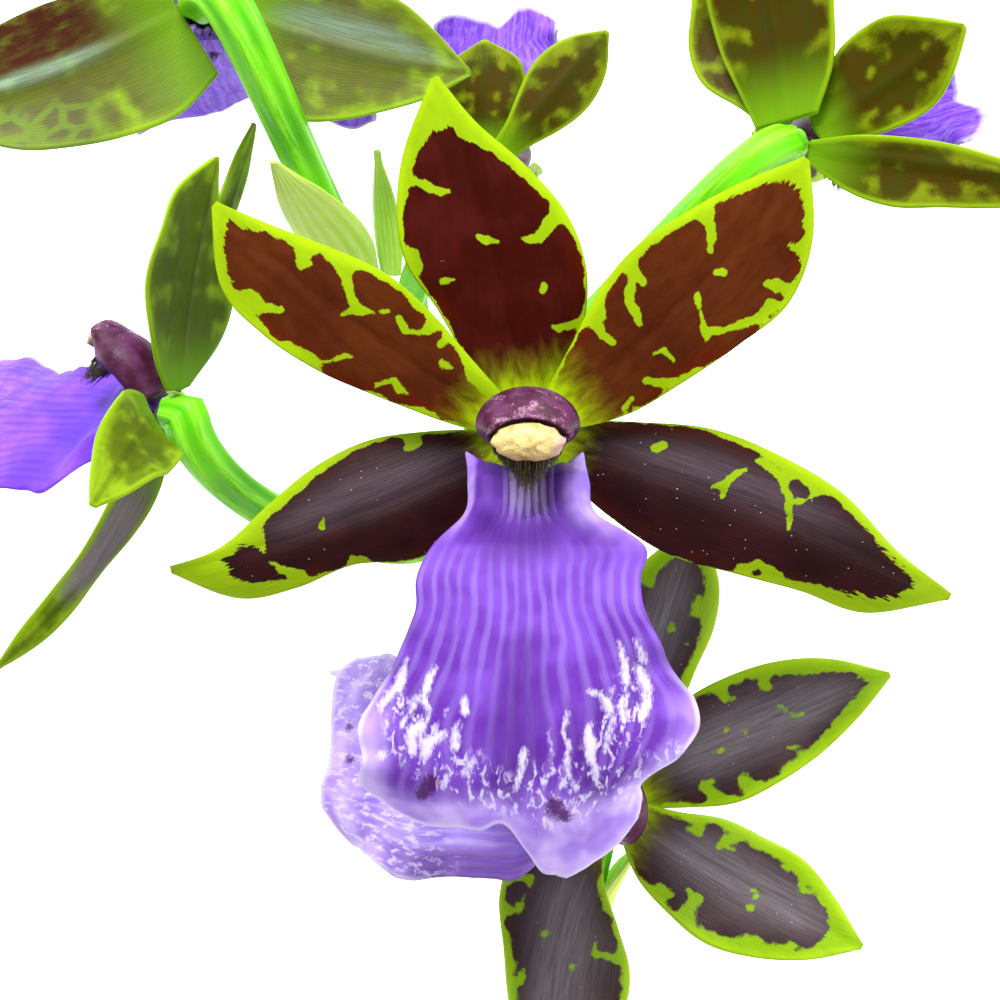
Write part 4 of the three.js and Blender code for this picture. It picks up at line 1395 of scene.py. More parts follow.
# the grey and grey-teal colours that the dark, deep and pale finishes below lay over their faces are painted
# sheen, and their bright dots are painted glints
DARK_SEPAL = TepalFinish(
    "dark side sepal", ("#200c0d", "#2c1012", "#40150a"), BRIGHT, OLIVE_BACK, painted_sheen="#5a4f57",
    glow=(0.12, 0.0), roughness=0.4, gloss=0.05, painted_glints=0.22, tip_streaks=1.0, line_depth=0.03)
DEEP_TEPAL = TepalFinish(
    "purple-brown tepal", ("#2e1a1c", "#3c282a", "#3c2016"), ("#98c012", "#80a80a"), OLIVE_BACK,
    painted_sheen="#8c868c", roughness=0.42, gloss=0.12, painted_glints=0.1, soft=0.2, lobes=0.8, line_depth=0.03)
OLIVE_TEPAL = TepalFinish(
    "olive tepal", ("#443638", "#524247", "#4a3a20"), ("#98ba18", "#7ea010"),
    ("#4d5c06", "#7a9812", "#414e04"), soft=0.4, back_soft=0.8, gloss=0.06)
BROWN_TEPAL = TepalFinish(
    "brown-olive tepal", ("#342408", "#40300a", "#40230c"), ("#94b416", "#84a40c"),
    ("#3e3000", "#6f7c06", "#363800"), soft=0.4, back_soft=0.6, lobes=0.8, gloss=0.06)
PALE_TEPAL = TepalFinish(
    "pale olive tepal", ("#4a3a22", "#5a4a26", "#5a3a22"), ("#9cbc2e", "#86ac1a"),
    ("#58601e", "#7d9c1c", "#555226"), painted_sheen="#84a092", soft=0.4, back_soft=0.8, gloss=0.12, netted=True)

OPEN_LIP = LipFinish("violet lip")
VIVID_LIP = LipFinish(
    "blue-violet lip", base=("#5c26c8", "#7d44e2"), vein="#481aa0", deep="#3c1490",
    lobe=("#8049e4", "#a276f4"), back=("#6a33c8", "#8a58e2"), feather=0.35)
FADED_LIP = LipFinish(
    "lavender lip", base=("#8a6ccc", "#a58ade"), vein="#d2c2f2", deep="#5e2f8c", lobe=("#a685de", "#c8aef2"),
    back=("#5f358c", "#9470c8"))

GREEN_STALK = StalkFinish("bright green stalk", ("#6cd20a", "#50b206"), "#9cec36", "#2e7c04", 6.0)
PAPERY_BRACT = StalkFinish("papery bract", ("#d8f260", "#c2e446"), "#ecfba8", "#a4d038", 7.0,
                           roughness=0.5, line_depth=0.05)
HAIR = PlainFinish("olive brown hair", ("#1e1408", "#54431c"), (3.0, 2), (0.35, 0.65), 0.5)
FLOOR = PlainFinish("white floor", ("#fcfcfc", "#ffffff"), (0.004, 1), (0.3, 0.7), 0.9, shine=0.75)

WARM_TEPALS = {"dorsal_sepal": WARM_DORSAL, "left_petal": WARM_PETAL, "right_petal": WARM_PETAL,
               "left_sepal": DARK_SEPAL, "right_sepal": DARK_SEPAL}
TEPALS = {Look.DEEP: DEEP_TEPAL, Look.OLIVE: OLIVE_TEPAL, Look.BROWN: BROWN_TEPAL, Look.PALE: PALE_TEPAL}
LIPS = {LipLook.OPEN: OPEN_LIP, LipLook.VIVID: VIVID_LIP, LipLook.FADED: FADED_LIP}


# ---------------------------------------------------------------- stalks by Geometry Nodes

class NodeRecipe(Weave):
    """A Geometry Nodes tree that is run once on a mesh and gives a plain mesh."""

    def __init__(self, name: str, inputs: dict[str, tuple[str, object]]) -> None:
        """Starts the tree.

        Args:
            name: of the tree.
            inputs: each named input's kind of socket and first value.
        """
        super().__init__(bpy.data.node_groups.new(name, "GeometryNodeTree"))
        face = self.tree.interface
        sockets = {"Geometry": ("Geometry", None), **inputs, "Material": ("Material", None)}
        for label, (kind, value) in sockets.items():
            socket = face.new_socket(label, in_out="INPUT", socket_type=f"NodeSocket{kind}")
            if value is not None:
                socket.default_value = value
        face.new_socket("Geometry", in_out="OUTPUT", socket_type="NodeSocketGeometry")
        self.source = self.node("NodeGroupInput").outputs
        self.sink = self.node("NodeGroupOutput")

    def finish(self, geometry: Socket) -> None:
        """Ends the tree in real geometry with its material.

        Args:
            geometry: what the tree has made.
        """
        real = self.node("GeometryNodeRealizeInstances", {0: geometry}).outputs[0]
        painted = {"Geometry": real, "Material": self.source["Material"]}
        self.feed(self.sink.inputs[0], self.node("GeometryNodeSetMaterial", painted).outputs[0])

    def run(self, mesh: bpy.types.Mesh, name: str, **values: object) -> bpy.types.Mesh:
        """Runs the tree on a mesh.

        Args:
            mesh: the guide mesh, whose object is removed.
            name: of the result.
            values: the named inputs' values.

        Returns:
            The resulting plain mesh.
        """
        thing = placed(name, mesh)
        modifier = thing.modifiers.new(name, "NODES")
        modifier.node_group = self.tree
        for item in self.tree.interface.items_tree:
            if item.in_out == "INPUT" and item.name in values:
                modifier[item.identifier] = values[item.name]
        evaluated = thing.evaluated_get(bpy.context.evaluated_depsgraph_get())
        result = bpy.data.meshes.new_from_object(evaluated)
        result.name = name
        thing.modifiers.remove(modifier)
        bpy.data.objects.remove(thing)
        return result


def ribbed_stalk_recipe() -> NodeRecipe:
    """A tree that sweeps a ribbed section along a row of points with a stored thickness."""
    weave = NodeRecipe("ribbed stalk", {
        "Ribs": ("Int", 6), "Rib Depth": ("Float", RIB_DEPTH), "Sides": ("Int", 48)})
    source = weave.source

    path = weave.node("GeometryNodeMeshToCurve", {"Mesh": source["Geometry"]}).outputs[0]
    length = weave.node("GeometryNodeSplineParameter").outputs["Length"]
    thick = weave.named("thickness")
    sized = weave.node("GeometryNodeSetCurveRadius", {
        "Curve": weave.stored(path, "along", weave.times(length, 1 / STRIPE_REACH)), "Radius": thick})

    ring = weave.node("GeometryNodeCurvePrimitiveCircle", {"Resolution": source["Sides"], "Radius": 1.0})
    share = weave.node("GeometryNodeSplineParameter").outputs["Factor"]
    around = weave.stored(ring.outputs[0], "around", share)
    crest = weave.math("COSINE", weave.times(share, FULL_TURN, source["Ribs"]))
    swell = weave.times(crest, source["Rib Depth"])
    here = weave.node("GeometryNodeInputPosition").outputs[0]
    pushed = weave.node("ShaderNodeVectorMath", {0: here, "Scale": swell}, operation="SCALE").outputs[0]
    ribbed = weave.node("GeometryNodeSetPosition", {"Geometry": around, "Offset": pushed}).outputs[0]

    tube = weave.node("GeometryNodeCurveToMesh", {
        "Curve": sized.outputs[0], "Profile Curve": ribbed, "Fill Caps": True})
    if "Scale" in tube.inputs:
        weave.feed(tube.inputs["Scale"], thick)
    weave.finish(weave.node("GeometryNodeSetShadeSmooth", {"Geometry": tube.outputs[0]}).outputs[0])
    return weave


def hair_recipe() -> NodeRecipe:
    """A tree that plants combed hairs on a guide mesh where it is hairy."""
    weave = NodeRecipe("combed hair", {
        "Density": ("Float", 2.2e7), "Length": ("Float", 0.0044), "Thickness": ("Float", 0.00009),
        "Seed": ("Int", 7)})
    source = weave.source
    seed, thick = source["Seed"], source["Thickness"]
    scatter = weave.node("GeometryNodeDistributePointsOnFaces", {
        "Mesh": source["Geometry"], "Density": source["Density"], "Seed": seed})
    hair = weave.node("GeometryNodeMeshCone", {
        "Vertices": 4, "Side Segments": 3, "Radius Top": 0.15, "Radius Bottom": 1.0, "Depth": 1.0})

    stray = weave.node("FunctionNodeRandomValue", {
        "Min": (-HAIR_STRAY,) * 3, "Max": (HAIR_STRAY,) * 3, "Seed": seed}, data_type="FLOAT_VECTOR")
    way = weave.node("ShaderNodeVectorMath", {
        0: weave.named("comb", "FLOAT_VECTOR"), 1: stray.outputs[0]}, operation="ADD")
    turn = weave.node("FunctionNodeAlignRotationToVector", {"Vector": way.outputs[0]}, axis="Z")

    lucky = weave.node("FunctionNodeRandomValue", {"Seed": seed}, data_type="FLOAT")
    least = next(socket for socket in lucky.inputs if socket.enabled and socket.name == "Min")
    least.default_value = SHORTEST_HAIR
    luck = next(socket for socket in lucky.outputs if socket.enabled)
    size = weave.join(thick, thick, weave.times(weave.named("reach"), luck, source["Length"]))
    planted = weave.node("GeometryNodeInstanceOnPoints", {
        "Points": scatter.outputs["Points"], "Instance": hair.outputs["Mesh"], "Rotation": turn.outputs[0],
        "Scale": size})
    weave.finish(planted.outputs[0])
    return weave


# ---------------------------------------------------------------- the plant

STEM_LINE = (
    (7.6, -80, 2.1), (8.4, -66, 2.0), (8.2, -52, 1.9), (6.9, -38, 1.85), (3.5, -23, 2.4),
    (1.4, -8, 4.5), (-0.9, 5.7, 7), (-6.8, 16.9, 10.5), (-14.3, 23.2, 14),
)


def stem_line(share: Array) -> Array:
    """Points on the flower stem's middle line at shares of its spans."""
    return np.column_stack([through(column, share) for column in zip(*STEM_LINE)])


@dataclass(frozen=True)
class Stalk:
    """A flower's stalk: where and which way it leaves the stem and comes to the flower."""

    start: float
    leave: Triple
    out: float
    back: float
    arrive: Triple | None = None
    ovary: float = OVARY_RADIUS

    def curve(self, flower: "Flower", t: Array) -> Array:
        """Points of the stalk's middle line at t from 0 to 1.

        Args:
            flower: that it carries.
            t: from the stem at 0 to the flower at 1.

        Returns:
            Rows in the spray's millimetres.
        """
        facing = unit(flower.facing)
        first = stem_line(np.array([self.start]))[0]
        last = np.array(flower.centre) - facing * SEAT_DEPTH * flower.scale
        arrive = unit(self.arrive) if self.arrive else facing
        second = first + unit(self.leave) * self.out
        third = last - arrive * self.back
        t = t[:, None]
        return ((1 - t) ** 3 * first + 3 * (1 - t) ** 2 * t * second
                + 3 * (1 - t) * t ** 2 * third + t ** 3 * last)

    def at_length(self, flower: "Flower", length: float) -> tuple[Array, Array]:
        """The point a length up the stalk, and the stalk's direction there.

        Args:
            flower: that it carries.
            length: in millimetres.

        Returns:
            The point and a unit vector.
        """
        t = np.linspace(0, 1, 401)
        share = np.interp(length, lengths(self.curve(flower, t)), t)
        near = self.curve(flower, np.array([share - TINY, share, share + TINY]))
        return near[1], unit(near[2] - near[0])


@dataclass(frozen=True)
class Foot:
    """Where a bract stands: a length up its stalk on one side, or a point and a heading."""

    side: Triple
    along: float = 0
    point: Triple | None = None
    heading: Triple | None = None


@dataclass(frozen=True)
class Flower:
    """One flower: its place in the spray, its blades, lip and column, stalk and bract."""

    name: str
    centre: Triple
    facing: Triple
    top: Triple
    stalk: Stalk
    foot: Foot
    scale: float = 1
    look: Look = Look.OLIVE
    lip_look: LipLook = LipLook.VIVID
    lip_spots: tuple[Stroke, ...] = ()
    dorsal_sepal: Blade = DORSAL_SEPAL
    left_petal: Blade = LEFT_PETAL
    right_petal: Blade = RIGHT_PETAL
    left_sepal: Blade = LEFT_SEPAL
    right_sepal: Blade = RIGHT_SEPAL
    lip: Lip = LIP
    column: Column = COLUMN
    bract: Blade = BRACT
    markings: tuple[tuple[str, Marking], ...] = ()
    grid: tuple[int, int] = (84, 40)
    lip_grid: tuple[int, int] = (84, 80)

    def to_spray(self, points: Array) -> Array:
        """Points of the flower's own frame, in the spray's millimetres.

        Args:
            points: rows in the flower's frame.

        Returns:
            Rows in the spray's millimetres.
        """
        out = unit(self.facing)
        up = unit(np.array(self.top) - out * np.dot(out, self.top))
        side = np.cross(up, out)
        return points @ np.array((side, up, out)) * self.scale + np.array(self.centre)

    def moved(self, shape: Shape) -> Shape:
        """A shape of the flower's own frame, in the spray's millimetres."""
        return replace(shape, points=self.to_spray(shape.points))

    def from_front(self, points: Array) -> Array:
        """Where the flower's points seem to lie in its own plane, seen from the camera's height."""
        eye = (EYE_HEIGHT - self.centre[2]) / self.scale
        return points[:, :2] * (eye / (eye - points[:, 2]))[:, None]


FRONT_MARKINGS = (
    ("dorsal_sepal", Marking(
        rim_left=(0.3, 0.2, 0.3, 0.5, 0.9, 2.2, 2.8), rim_right=(0.3, 0.3, 0.3, 0.7, 1.5, 2.4, 2.8), tip=5.6,
        strokes=(
            ((-12.9, 25.4, 0.7), (-11.0, 25.1, 0.3), (-8.6, 24.2, 0.38), (-7.9, 24.2, 0.1)),
            ((3.6, 22.5, 0.8), (2.2, 20.9, 0.6), (1.2, 19.5, 0.5), (0.3, 19.3, 0.35),
             (-0.6, 19.5, 0.06)),
            ((-4.9, 19.7, 0.22), (-4.1, 19.3, 0.4), (-2.8, 19.2, 0.06)),
            ((-8.5, 15.2, 0.08), (-7.9, 15.2, 0.28), (-7.3, 15.4, 0.06)),
            ((1.7, 14.7, 0.3), (1.6, 14.3, 0.3)),
            ((-8.5, 17.2, 0.14),),
            ((2.5, 10.8, 0.1), (3.3, 10.5, 0.38), (4.7, 11.0, 0.1), (5.8, 11.4, 0.3)),
            ((5.5, 10.3, 0.06), (5.3, 8.2, 0.18), (4.4, 6.6, 0.35), (3.4, 5.0, 0.6)),
            ((-11.6, 17.6, 0.7), (-11.0, 16.4, 0.3)),
        ))),
    ("left_petal", Marking(
        rim_left=(0.2, 0.1, 0.0, 0.1, 0.6, 1.5, 2.0), rim_right=(0.5, 0.5, 0.5, 0.8, 1.1, 1.2, 1.8), tip=2.2,
        strokes=(
            ((-22.4, 18.5, 0.9), (-22.6, 16.8, 0.4), (-21.9, 16.9, 0.15)),
            ((-18.3, 17.6, 1.3), (-18.1, 15.4, 0.4), (-17.7, 13.6, 0.35), (-17.1, 12.4, 0.45),
             (-15.3, 12.0, 0.06)),
            ((-17.4, 12.3, 0.3), (-18.5, 11.8, 0.06)),
            ((-14.7, 12.1, 0.1), (-14.0, 12.1, 0.14)),
            ((-12.8, 11.3, 0.3), (-12.2, 10.2, 0.28), (-11.1, 10.0, 0.2), (-10.0, 10.1, 0.35),
             (-9.4, 11.2, 0.3),
             (-9.7, 12.4, 0.3), (-10.6, 13.0, 0.4)),
            ((-8.3, 9.5, 0.22), (-8.8, 8.8, 0.25)),
            ((-8.6, 7.0, 0.3), (-7.6, 6.5, 0.18)),
            ((-15.0, 4.8, 0.05), (-13.4, 5.2, 0.3), (-12.8, 4.4, 0.35), (-11.9, 3.9, 0.06)),
            ((-23.9, 8.4, 0.6), (-22.1, 7.7, 0.4), (-20.8, 7.1, 0.12), (-19.6, 7.2, 0.14),
             (-18.4, 7.7, 0.26),
             (-17.3, 7.6, 0.06)),
            ((-28.0, 13.4, 0.9), (-26.4, 12.5, 0.5), (-24.7, 12.3, 0.3)),
            ((-14.9, 3.4, 0.12), (-14.4, 3.3, 0.05)),
            ((-11.1, 2.3, 0.05), (-10.3, 2.2, 0.2), (-9.7, 1.8, 0.1)),
            ((-6.4, 8.1, 0.3), (-5.6, 5.8, 0.5), (-3.5, 4.0, 0.4)),
        ))),
    ("right_petal", Marking(
        rim_left=(0.2, 0.3, 0.4, 0.9, 0.9, 1.2, 2.0), rim_right=(0.1, 0.05, 0.1, 0.0, 0.2, 1.2, 1.8), tip=3.0,
        strokes=(
            ((17.4, 22.6, 0.9), (18.2, 20.8, 0.38), (18.4, 19.4, 0.3), (18.3, 18.3, 0.25)),
            ((18.9, 16.0, 0.2), (19.7, 16.0, 0.25)),
            ((9.9, 17.7, 0.8), (10.7, 15.9, 0.6), (11.5, 15.1, 0.3)),
            ((10.7, 15.9, 0.5), (10.3, 14.2, 0.4), (10.2, 13.1, 0.38), (11.0, 11.7, 0.35),
             (11.2, 11.0, 0.3)),
            ((8.7, 16.2, 0.4), (7.3, 14.2, 0.4), (7.2, 12.1, 0.5), (6.8, 11.0, 0.55), (7.5, 9.8, 0.3),
             (8.6, 9.0, 0.25)),
            ((17.0, 13.8, 0.18), (17.3, 12.1, 0.2), (17.7, 10.2, 0.3), (17.9, 9.3, 0.12)),
            ((17.7, 10.2, 0.3), (19.7, 10.3, 0.2), (21.8, 10.9, 0.25), (23.4, 11.8, 0.3),
             (24.6, 13.0, 0.7)),
            ((23.6, 14.9, 0.12), (25.0, 14.7, 0.75), (26.2, 13.6, 0.9)),
            ((26.3, 18.5, 0.2), (27.4, 18.6, 0.5)),
            ((11.8, 5.2, 0.3), (13.2, 5.1, 0.2), (15.3, 5.1, 0.28), (16.9, 5.8, 0.5)),
            ((12.5, 7.9, 0.05), (13.6, 8.2, 0.12), (14.6, 7.3, 0.1)),
            ((9.6, 2.6, 0.15), (10.4, 3.5, 0.08)),
        ),
        ink=(((24.5, 13.6, 0.15), (25.3, 13.6, 0.35)),))),
    ("left_sepal", Marking(
        rim_left=(0.0, 0.0, 0.0, 0.1, 0.9, 2.2, 2.6), rim_right=(0.3, 0.3, 0.5, 1.1, 1.5, 1.3, 1.6), tip=6.0,
        strokes=(
            ((-11.8, 0.3, 0.6), (-11.3, -0.8, 0.65), (-12.1, -1.5, 0.12)),
            ((-20.3, -8.4, 0.06), (-20.6, -9.2, 0.26)),
            ((-26.9, -10.4, 0.6), (-26.4, -11.5, 0.2)),
            ((-25.7, -12.8, 0.08), (-24.6, -13.4, 0.3), (-22.9, -14.2, 0.6)),
            ((-17.5, -12.5, 0.3), (-16.2, -12.6, 0.1)),
        ))),
    ("right_sepal", Marking(
        rim_left=(0.5, 0.1, 0.5, 1.1, 1.2, 1.2, 1.4), rim_right=(0.0, 0.0, 0.0, 0.2, 1.2, 2.0, 1.6), tip=4.4,
        strokes=(
            ((12.9, -1.5, 0.45), (13.6, -1.2, 0.35)),
            ((21.8, -3.6, 0.08), (20.6, -4.1, 0.26), (19.9, -5.0, 0.34), (19.5, -6.2, 0.08)),
            ((19.9, -5.0, 0.3), (18.5, -5.3, 0.06)),
            ((23.1, -2.7, 0.15), (24.4, -3.4, 0.3), (25.6, -4.4, 0.38), (26.2, -6.3, 0.38),
             (26.2, -8.0, 0.3),
             (26.2, -9.5, 0.05)),
            ((26.2, -6.7, 0.3), (27.5, -6.7, 0.16), (28.7, -6.1, 0.25)),
            ((21.2, -13.2, 0.05), (22.3, -13.2, 0.22), (23.3, -12.9, 0.26), (25.1, -14.1, 0.4)),
            ((26.4, -3.9, 0.6), (28.6, -5.4, 0.6)),
        ),
        ink=(((26.8, -5.2, 0.7), (27.7, -5.7, 0.65)),))),
)

FLOWERS = (
    Flower(
        "front", (2.7, 6.6, 48), (0, 0, 1), (0, 1, 0),
        Stalk(0.65, (0.1, 0.3, 1), 14, 16), Foot((0, -1, 0), along=6), look=Look.WARM,
        lip_look=LipLook.OPEN,
        dorsal_sepal=replace(
            DORSAL_SEPAL, angle=99, bend=12, length=34.7, rise=(18, -16), curl=(-4, -20),
            left=(2.4, 4.7, 6.5, 8.5, 7.8, 5.2, 0.3), right=(2.6, 6.8, 8.8, 8.4, 5.8, 2.3, 0.3)),
        left_petal=replace(
            LEFT_PETAL, angle=151, bend=-15.6, length=36.1, rise=(20, -14),
            left=(1.9, 3.3, 4.6, 5.9, 6.4, 5.5, 0.3), right=(1.9, 3.7, 5.3, 5.8, 4.5, 2.4, 0.3)),
        right_petal=replace(
            RIGHT_PETAL, angle=36.2, bend=18, length=36.5, rise=(20, -14),
            left=(1.9, 4.3, 6.6, 7.2, 5.9, 3.7, 0.3), right=(1.9, 4.5, 5.7, 6.8, 7.6, 5.4, 0.3)),
        left_sepal=replace(
            LEFT_SEPAL, angle=209, bend=-18, length=36.8,
            left=(2.2, 5.2, 6.4, 4.6, 5.0, 4.4, 0.3), right=(2.2, 5.0, 6.7, 6.3, 4.2, 1.2, 0.3)),
        right_sepal=replace(
            RIGHT_SEPAL, angle=-15.5, bend=-11.5, length=44.4,
            left=(2.2, 4.3, 6.1, 6.0, 4.8, 1.8, 0.3), right=(2.2, 5.6, 7.5, 7.0, 6.1, 5.4, 0.3)),
        lip=replace(LIP, walls=1), markings=FRONT_MARKINGS, grid=(132, 60), lip_grid=(150, 130)),
    Flower(
        "left", (-33.5, 9.0, 38), (-0.88, 0.16, -0.42), (0.16, 0.97, 0.2),
        Stalk(0.66, (-0.95, -0.2, 0.27), 21.5, 8, arrive=(-0.15, 0.97, 0.1)), Foot((0, 0.4, -1), along=7),
        scale=0.95,
        dorsal_sepal=replace(
            DORSAL_SEPAL, angle=87, bend=12, length=25.5, rise=(2, -10),
            left=(2.2, 7.4, 8.6, 7.2, 4.8, 2.2, 0.3), right=(2.2, 5.6, 7.8, 8.8, 8.6, 7.2, 0.3)),
        left_petal=replace(
            LEFT_PETAL, angle=118, bend=-2, length=32, rise=(6, -2),
            left=(1.9, 3.2, 4.0, 3.6, 2.6, 1.6, 0.3), right=(1.9, 3.2, 4.0, 3.6, 2.6, 1.6, 0.3)),
        right_petal=replace(
            RIGHT_PETAL, angle=-2, bend=-38, length=21, rise=(-30, -2), curl=(-20, -30), twist=(30, 60),
            wave=0.8, left=NARROW_SEPAL, right=wider(1.2, NARROW_SEPAL)),
        left_sepal=replace(
            LEFT_SEPAL, angle=200, length=30, start=3.6, depth=1.4, rise=(50, 66),
            left=NARROW_SEPAL, right=NARROW_SEPAL),
        right_sepal=replace(
            RIGHT_SEPAL, angle=-88, bend=8, length=33, start=3.6, depth=1.9, rise=(20, 42), twist=(20, 60),
            left=(1.8, 2.6, 2.4, 1.8, 1.7, 1.4, 0.3), right=(1.8, 2.6, 2.4, 1.8, 1.7, 1.4, 0.3)),
        lip=replace(LIP, lift=80, roll=32, hump=0.2, root=(0, -2.6, 3.4)),
        column=replace(
            COLUMN, length=8, root=(0, 0.9, 3.4), rise=(30, 60), cap=(2.6, 1.3, 0.9),
            half=(2.2, 2.9, 3.5, 3.8, 3.9, 3.5, 2.7), top=(1.8, 2.2, 2.6, 2.9, 2.9, 2.5, 1.8))),
    Flower(
        "lower", (11.3, -32.4, 24), (0, 0.04, 1), (0.914, 0.407, 0),
        Stalk(0.26, (0.3, 0.8, 0.9), 8, 9), Foot((1, 0, 0.4), along=6), scale=0.93, look=Look.DEEP,
        lip_look=LipLook.FADED, lip_spots=(((-5.0, -26.0, 0.45),), ((-1.4, -25.2, 0.4),)),
        dorsal_sepal=replace(
            DORSAL_SEPAL, length=33.5, rise=(14, -4), curl=(4, 10),
            left=(2.2, 5.0, 7.0, 7.4, 6.7, 4.5, 0.3), right=(2.2, 4.5, 6.3, 6.1, 5.1, 3.1, 0.3)),
        left_petal=replace(
            LEFT_PETAL, angle=137, bend=2, length=31, rise=(24, -8),
            left=(1.9, 4.2, 6.0, 7.0, 6.4, 4.2, 0.3), right=(1.9, 3.6, 4.5, 4.9, 5.4, 4.3, 0.3)),
        right_petal=replace(
            RIGHT_PETAL, angle=34, bend=6, length=31, rise=(24, -4), curl=(20, 10),
            left=(1.9, 3.4, 5.5, 5.9, 5.8, 3.6, 0.3), right=(1.9, 5.6, 7.2, 7.9, 6.7, 4.2, 0.3)),
        left_sepal=replace(LEFT_SEPAL, angle=180, bend=2, length=27, rise=(-10, -20)),
        right_sepal=replace(
            RIGHT_SEPAL, angle=-50, bend=30, length=34,
            left=(2.2, 3.6, 7.2, 9.9, 9.9, 6.6, 0.3), right=(2.2, 7.0, 7.4, 5.4, 3.9, 2.2, 0.3)),
        lip=replace(
            LIP, angle=-121, drop=32,
            left=(5.2, 4.9, 5.1, 7.8, 9.1, 9.2, 10.2, 11.3, 12.9, 14.2, 13.9, 14.4, 14.2, 14.0, 13.5),
            right=(3.6, 4.4, 7.5, 9.8, 9.9, 10, 10.2, 10.8, 11.4, 11.2, 9.9, 9.2, 8.8, 8, 7),
            reach=(0.98, 1, 0.99, 0.97, 0.95, 0.93, 0.92, 0.92, 0.93, 0.94, 0.94, 0.94, 0.92, 0.9, 0.86)),
        bract=replace(BRACT, length=12)),
    Flower(
        "upper_left", (-30.5, 51.5, 40), (0, 0.1, -1), (0, 1, 0.1),
        Stalk(0.985, (-0.3, 0.37, 0.89), 26, 21, arrive=(-0.2, -0.12, -0.97), ovary=2.6),
        Foot((0, -0.8, 0.5), along=8), look=Look.PALE,
        left_sepal=replace(
            LEFT_SEPAL, angle=203, bend=-18, length=25, start=3.6, depth=2.4, rise=(0, 6), curl=(-20, -20),
            left=(2.2, 6.8, 8.4, 7.4, 5.4, 3.2, 0.3), right=(2.2, 5.5, 6.8, 7.0, 6.2, 3.8, 0.3)),
        right_sepal=replace(
            RIGHT_SEPAL, angle=-32, bend=26, length=30, rise=(0, 6), curl=(-20, -20),
            left=(2.2, 5.5, 6.8, 7.0, 6.2, 3.8, 0.3), right=(7.6, 9.2, 8.8, 7.8, 6.4, 3.6, 0.3)),
        lip=replace(LIP, lift=80, drop=37.5, hump=0.2),
        bract=replace(
            BRACT, length=27, rise=(0, 4), left=wider(1.3, BRACT.left), right=wider(1.3, BRACT.right))),
    Flower(
        "upper_middle", (-1.3, 35.1, 31), (0.1, 0.35, -0.93), (0, -0.93, -0.35),
        Stalk(0.93, (0, 0.35, 0.94), 18, 8),
        Foot((-0.2, 0, 1), point=(-12.0, 24.6, 19.0), heading=(-0.06, 1, 0.45)), scale=0.78, look=Look.BROWN,
        dorsal_sepal=replace(DORSAL_SEPAL, rise=(16, 40), length=28, left=EVEN_SEPAL, right=EVEN_SEPAL),
        left_petal=replace(
            LEFT_PETAL, angle=130, bend=0, rise=(70, 84), length=26, start=3.6,
            left=NARROW_SEPAL, right=NARROW_SEPAL),
        right_petal=replace(
            RIGHT_PETAL, angle=56, bend=0, rise=(78, 92), length=24, start=4.8,
            left=SLIM_SEPAL, right=SLIM_SEPAL),
        left_sepal=replace(
            LEFT_SEPAL, angle=266, bend=0, length=14.4, depth=1.4, rise=(14, 30), curl=(10, 20),
            left=(1.6, 3.2, 4.8, 5.6, 5.4, 4.4, 0.3), right=(1.6, 3.2, 5.4, 6.4, 6.0, 4.6, 0.3)),
        right_sepal=replace(
            RIGHT_SEPAL, angle=-50, bend=4, length=22, rise=(10, 30), curl=(10, 20),
            left=(1.6, 2.6, 4.0, 4.9, 4.8, 3.4, 0.3), right=(1.6, 2.2, 3.4, 4.4, 4.5, 3.1, 0.3)),
        lip=replace(LIP, angle=-85, lift=42, drop=21, hump=0.3, left=wider(0.62, LIP.left),
                    right=wider(0.62, LIP.right)),
        bract=replace(BRACT, length=15, left=wider(0.5, BRACT.left), right=wider(0.5, BRACT.right))),
    Flower(
        "upper_right", (30.7, 37.5, 31), (0.6, 0.12, -0.79), (-0.05, 1, 0.1),
        Stalk(0.78, (0.8, 0.6, 0.6), 16, 9), Foot((0.3, -1, 0.3), along=7), scale=0.92, look=Look.BROWN,
        dorsal_sepal=replace(
            DORSAL_SEPAL, length=31, angle=80,
            left=(4.4, 7.2, 8.6, 9.2, 7.8, 4.8, 0.3), right=(4.0, 5.8, 7.4, 8.0, 7.2, 4.6, 0.3)),
        left_petal=replace(
            LEFT_PETAL, length=22, bend=0, angle=151,
            left=(2.6, 3.4, 4.6, 5.2, 4.9, 3.4, 0.3), right=(2.6, 4.8, 6.8, 7.2, 6.2, 3.6, 0.3)),
        right_petal=replace(
            RIGHT_PETAL, length=28, angle=52, bend=14, twist=(20, 66), rise=(20, 0),
            left=NARROW_SEPAL, right=(1.6, 3.6, 6.4, 6.4, 4.4, 2.6, 0.3)),
        left_sepal=replace(
            LEFT_SEPAL, angle=190, bend=0, length=34, rise=(4, 10),
            left=wider(0.8, LEFT_SEPAL.left), right=wider(0.4, LEFT_SEPAL.right)),
        right_sepal=replace(
            RIGHT_SEPAL, angle=-4, rise=(80, 90), length=36.2, start=4.4,
            left=NARROW_SEPAL, right=NARROW_SEPAL),
        lip=replace(
            LIP, angle=-193, lift=50, drop=17, hump=0.4, curl=(12, -60), root=(0, -6.4, 3.8),
            left=wider(0.42, LIP.left), right=wider(0.42, LIP.right))),
)

TEPAL_NAMES = tuple(WARM_TEPALS)

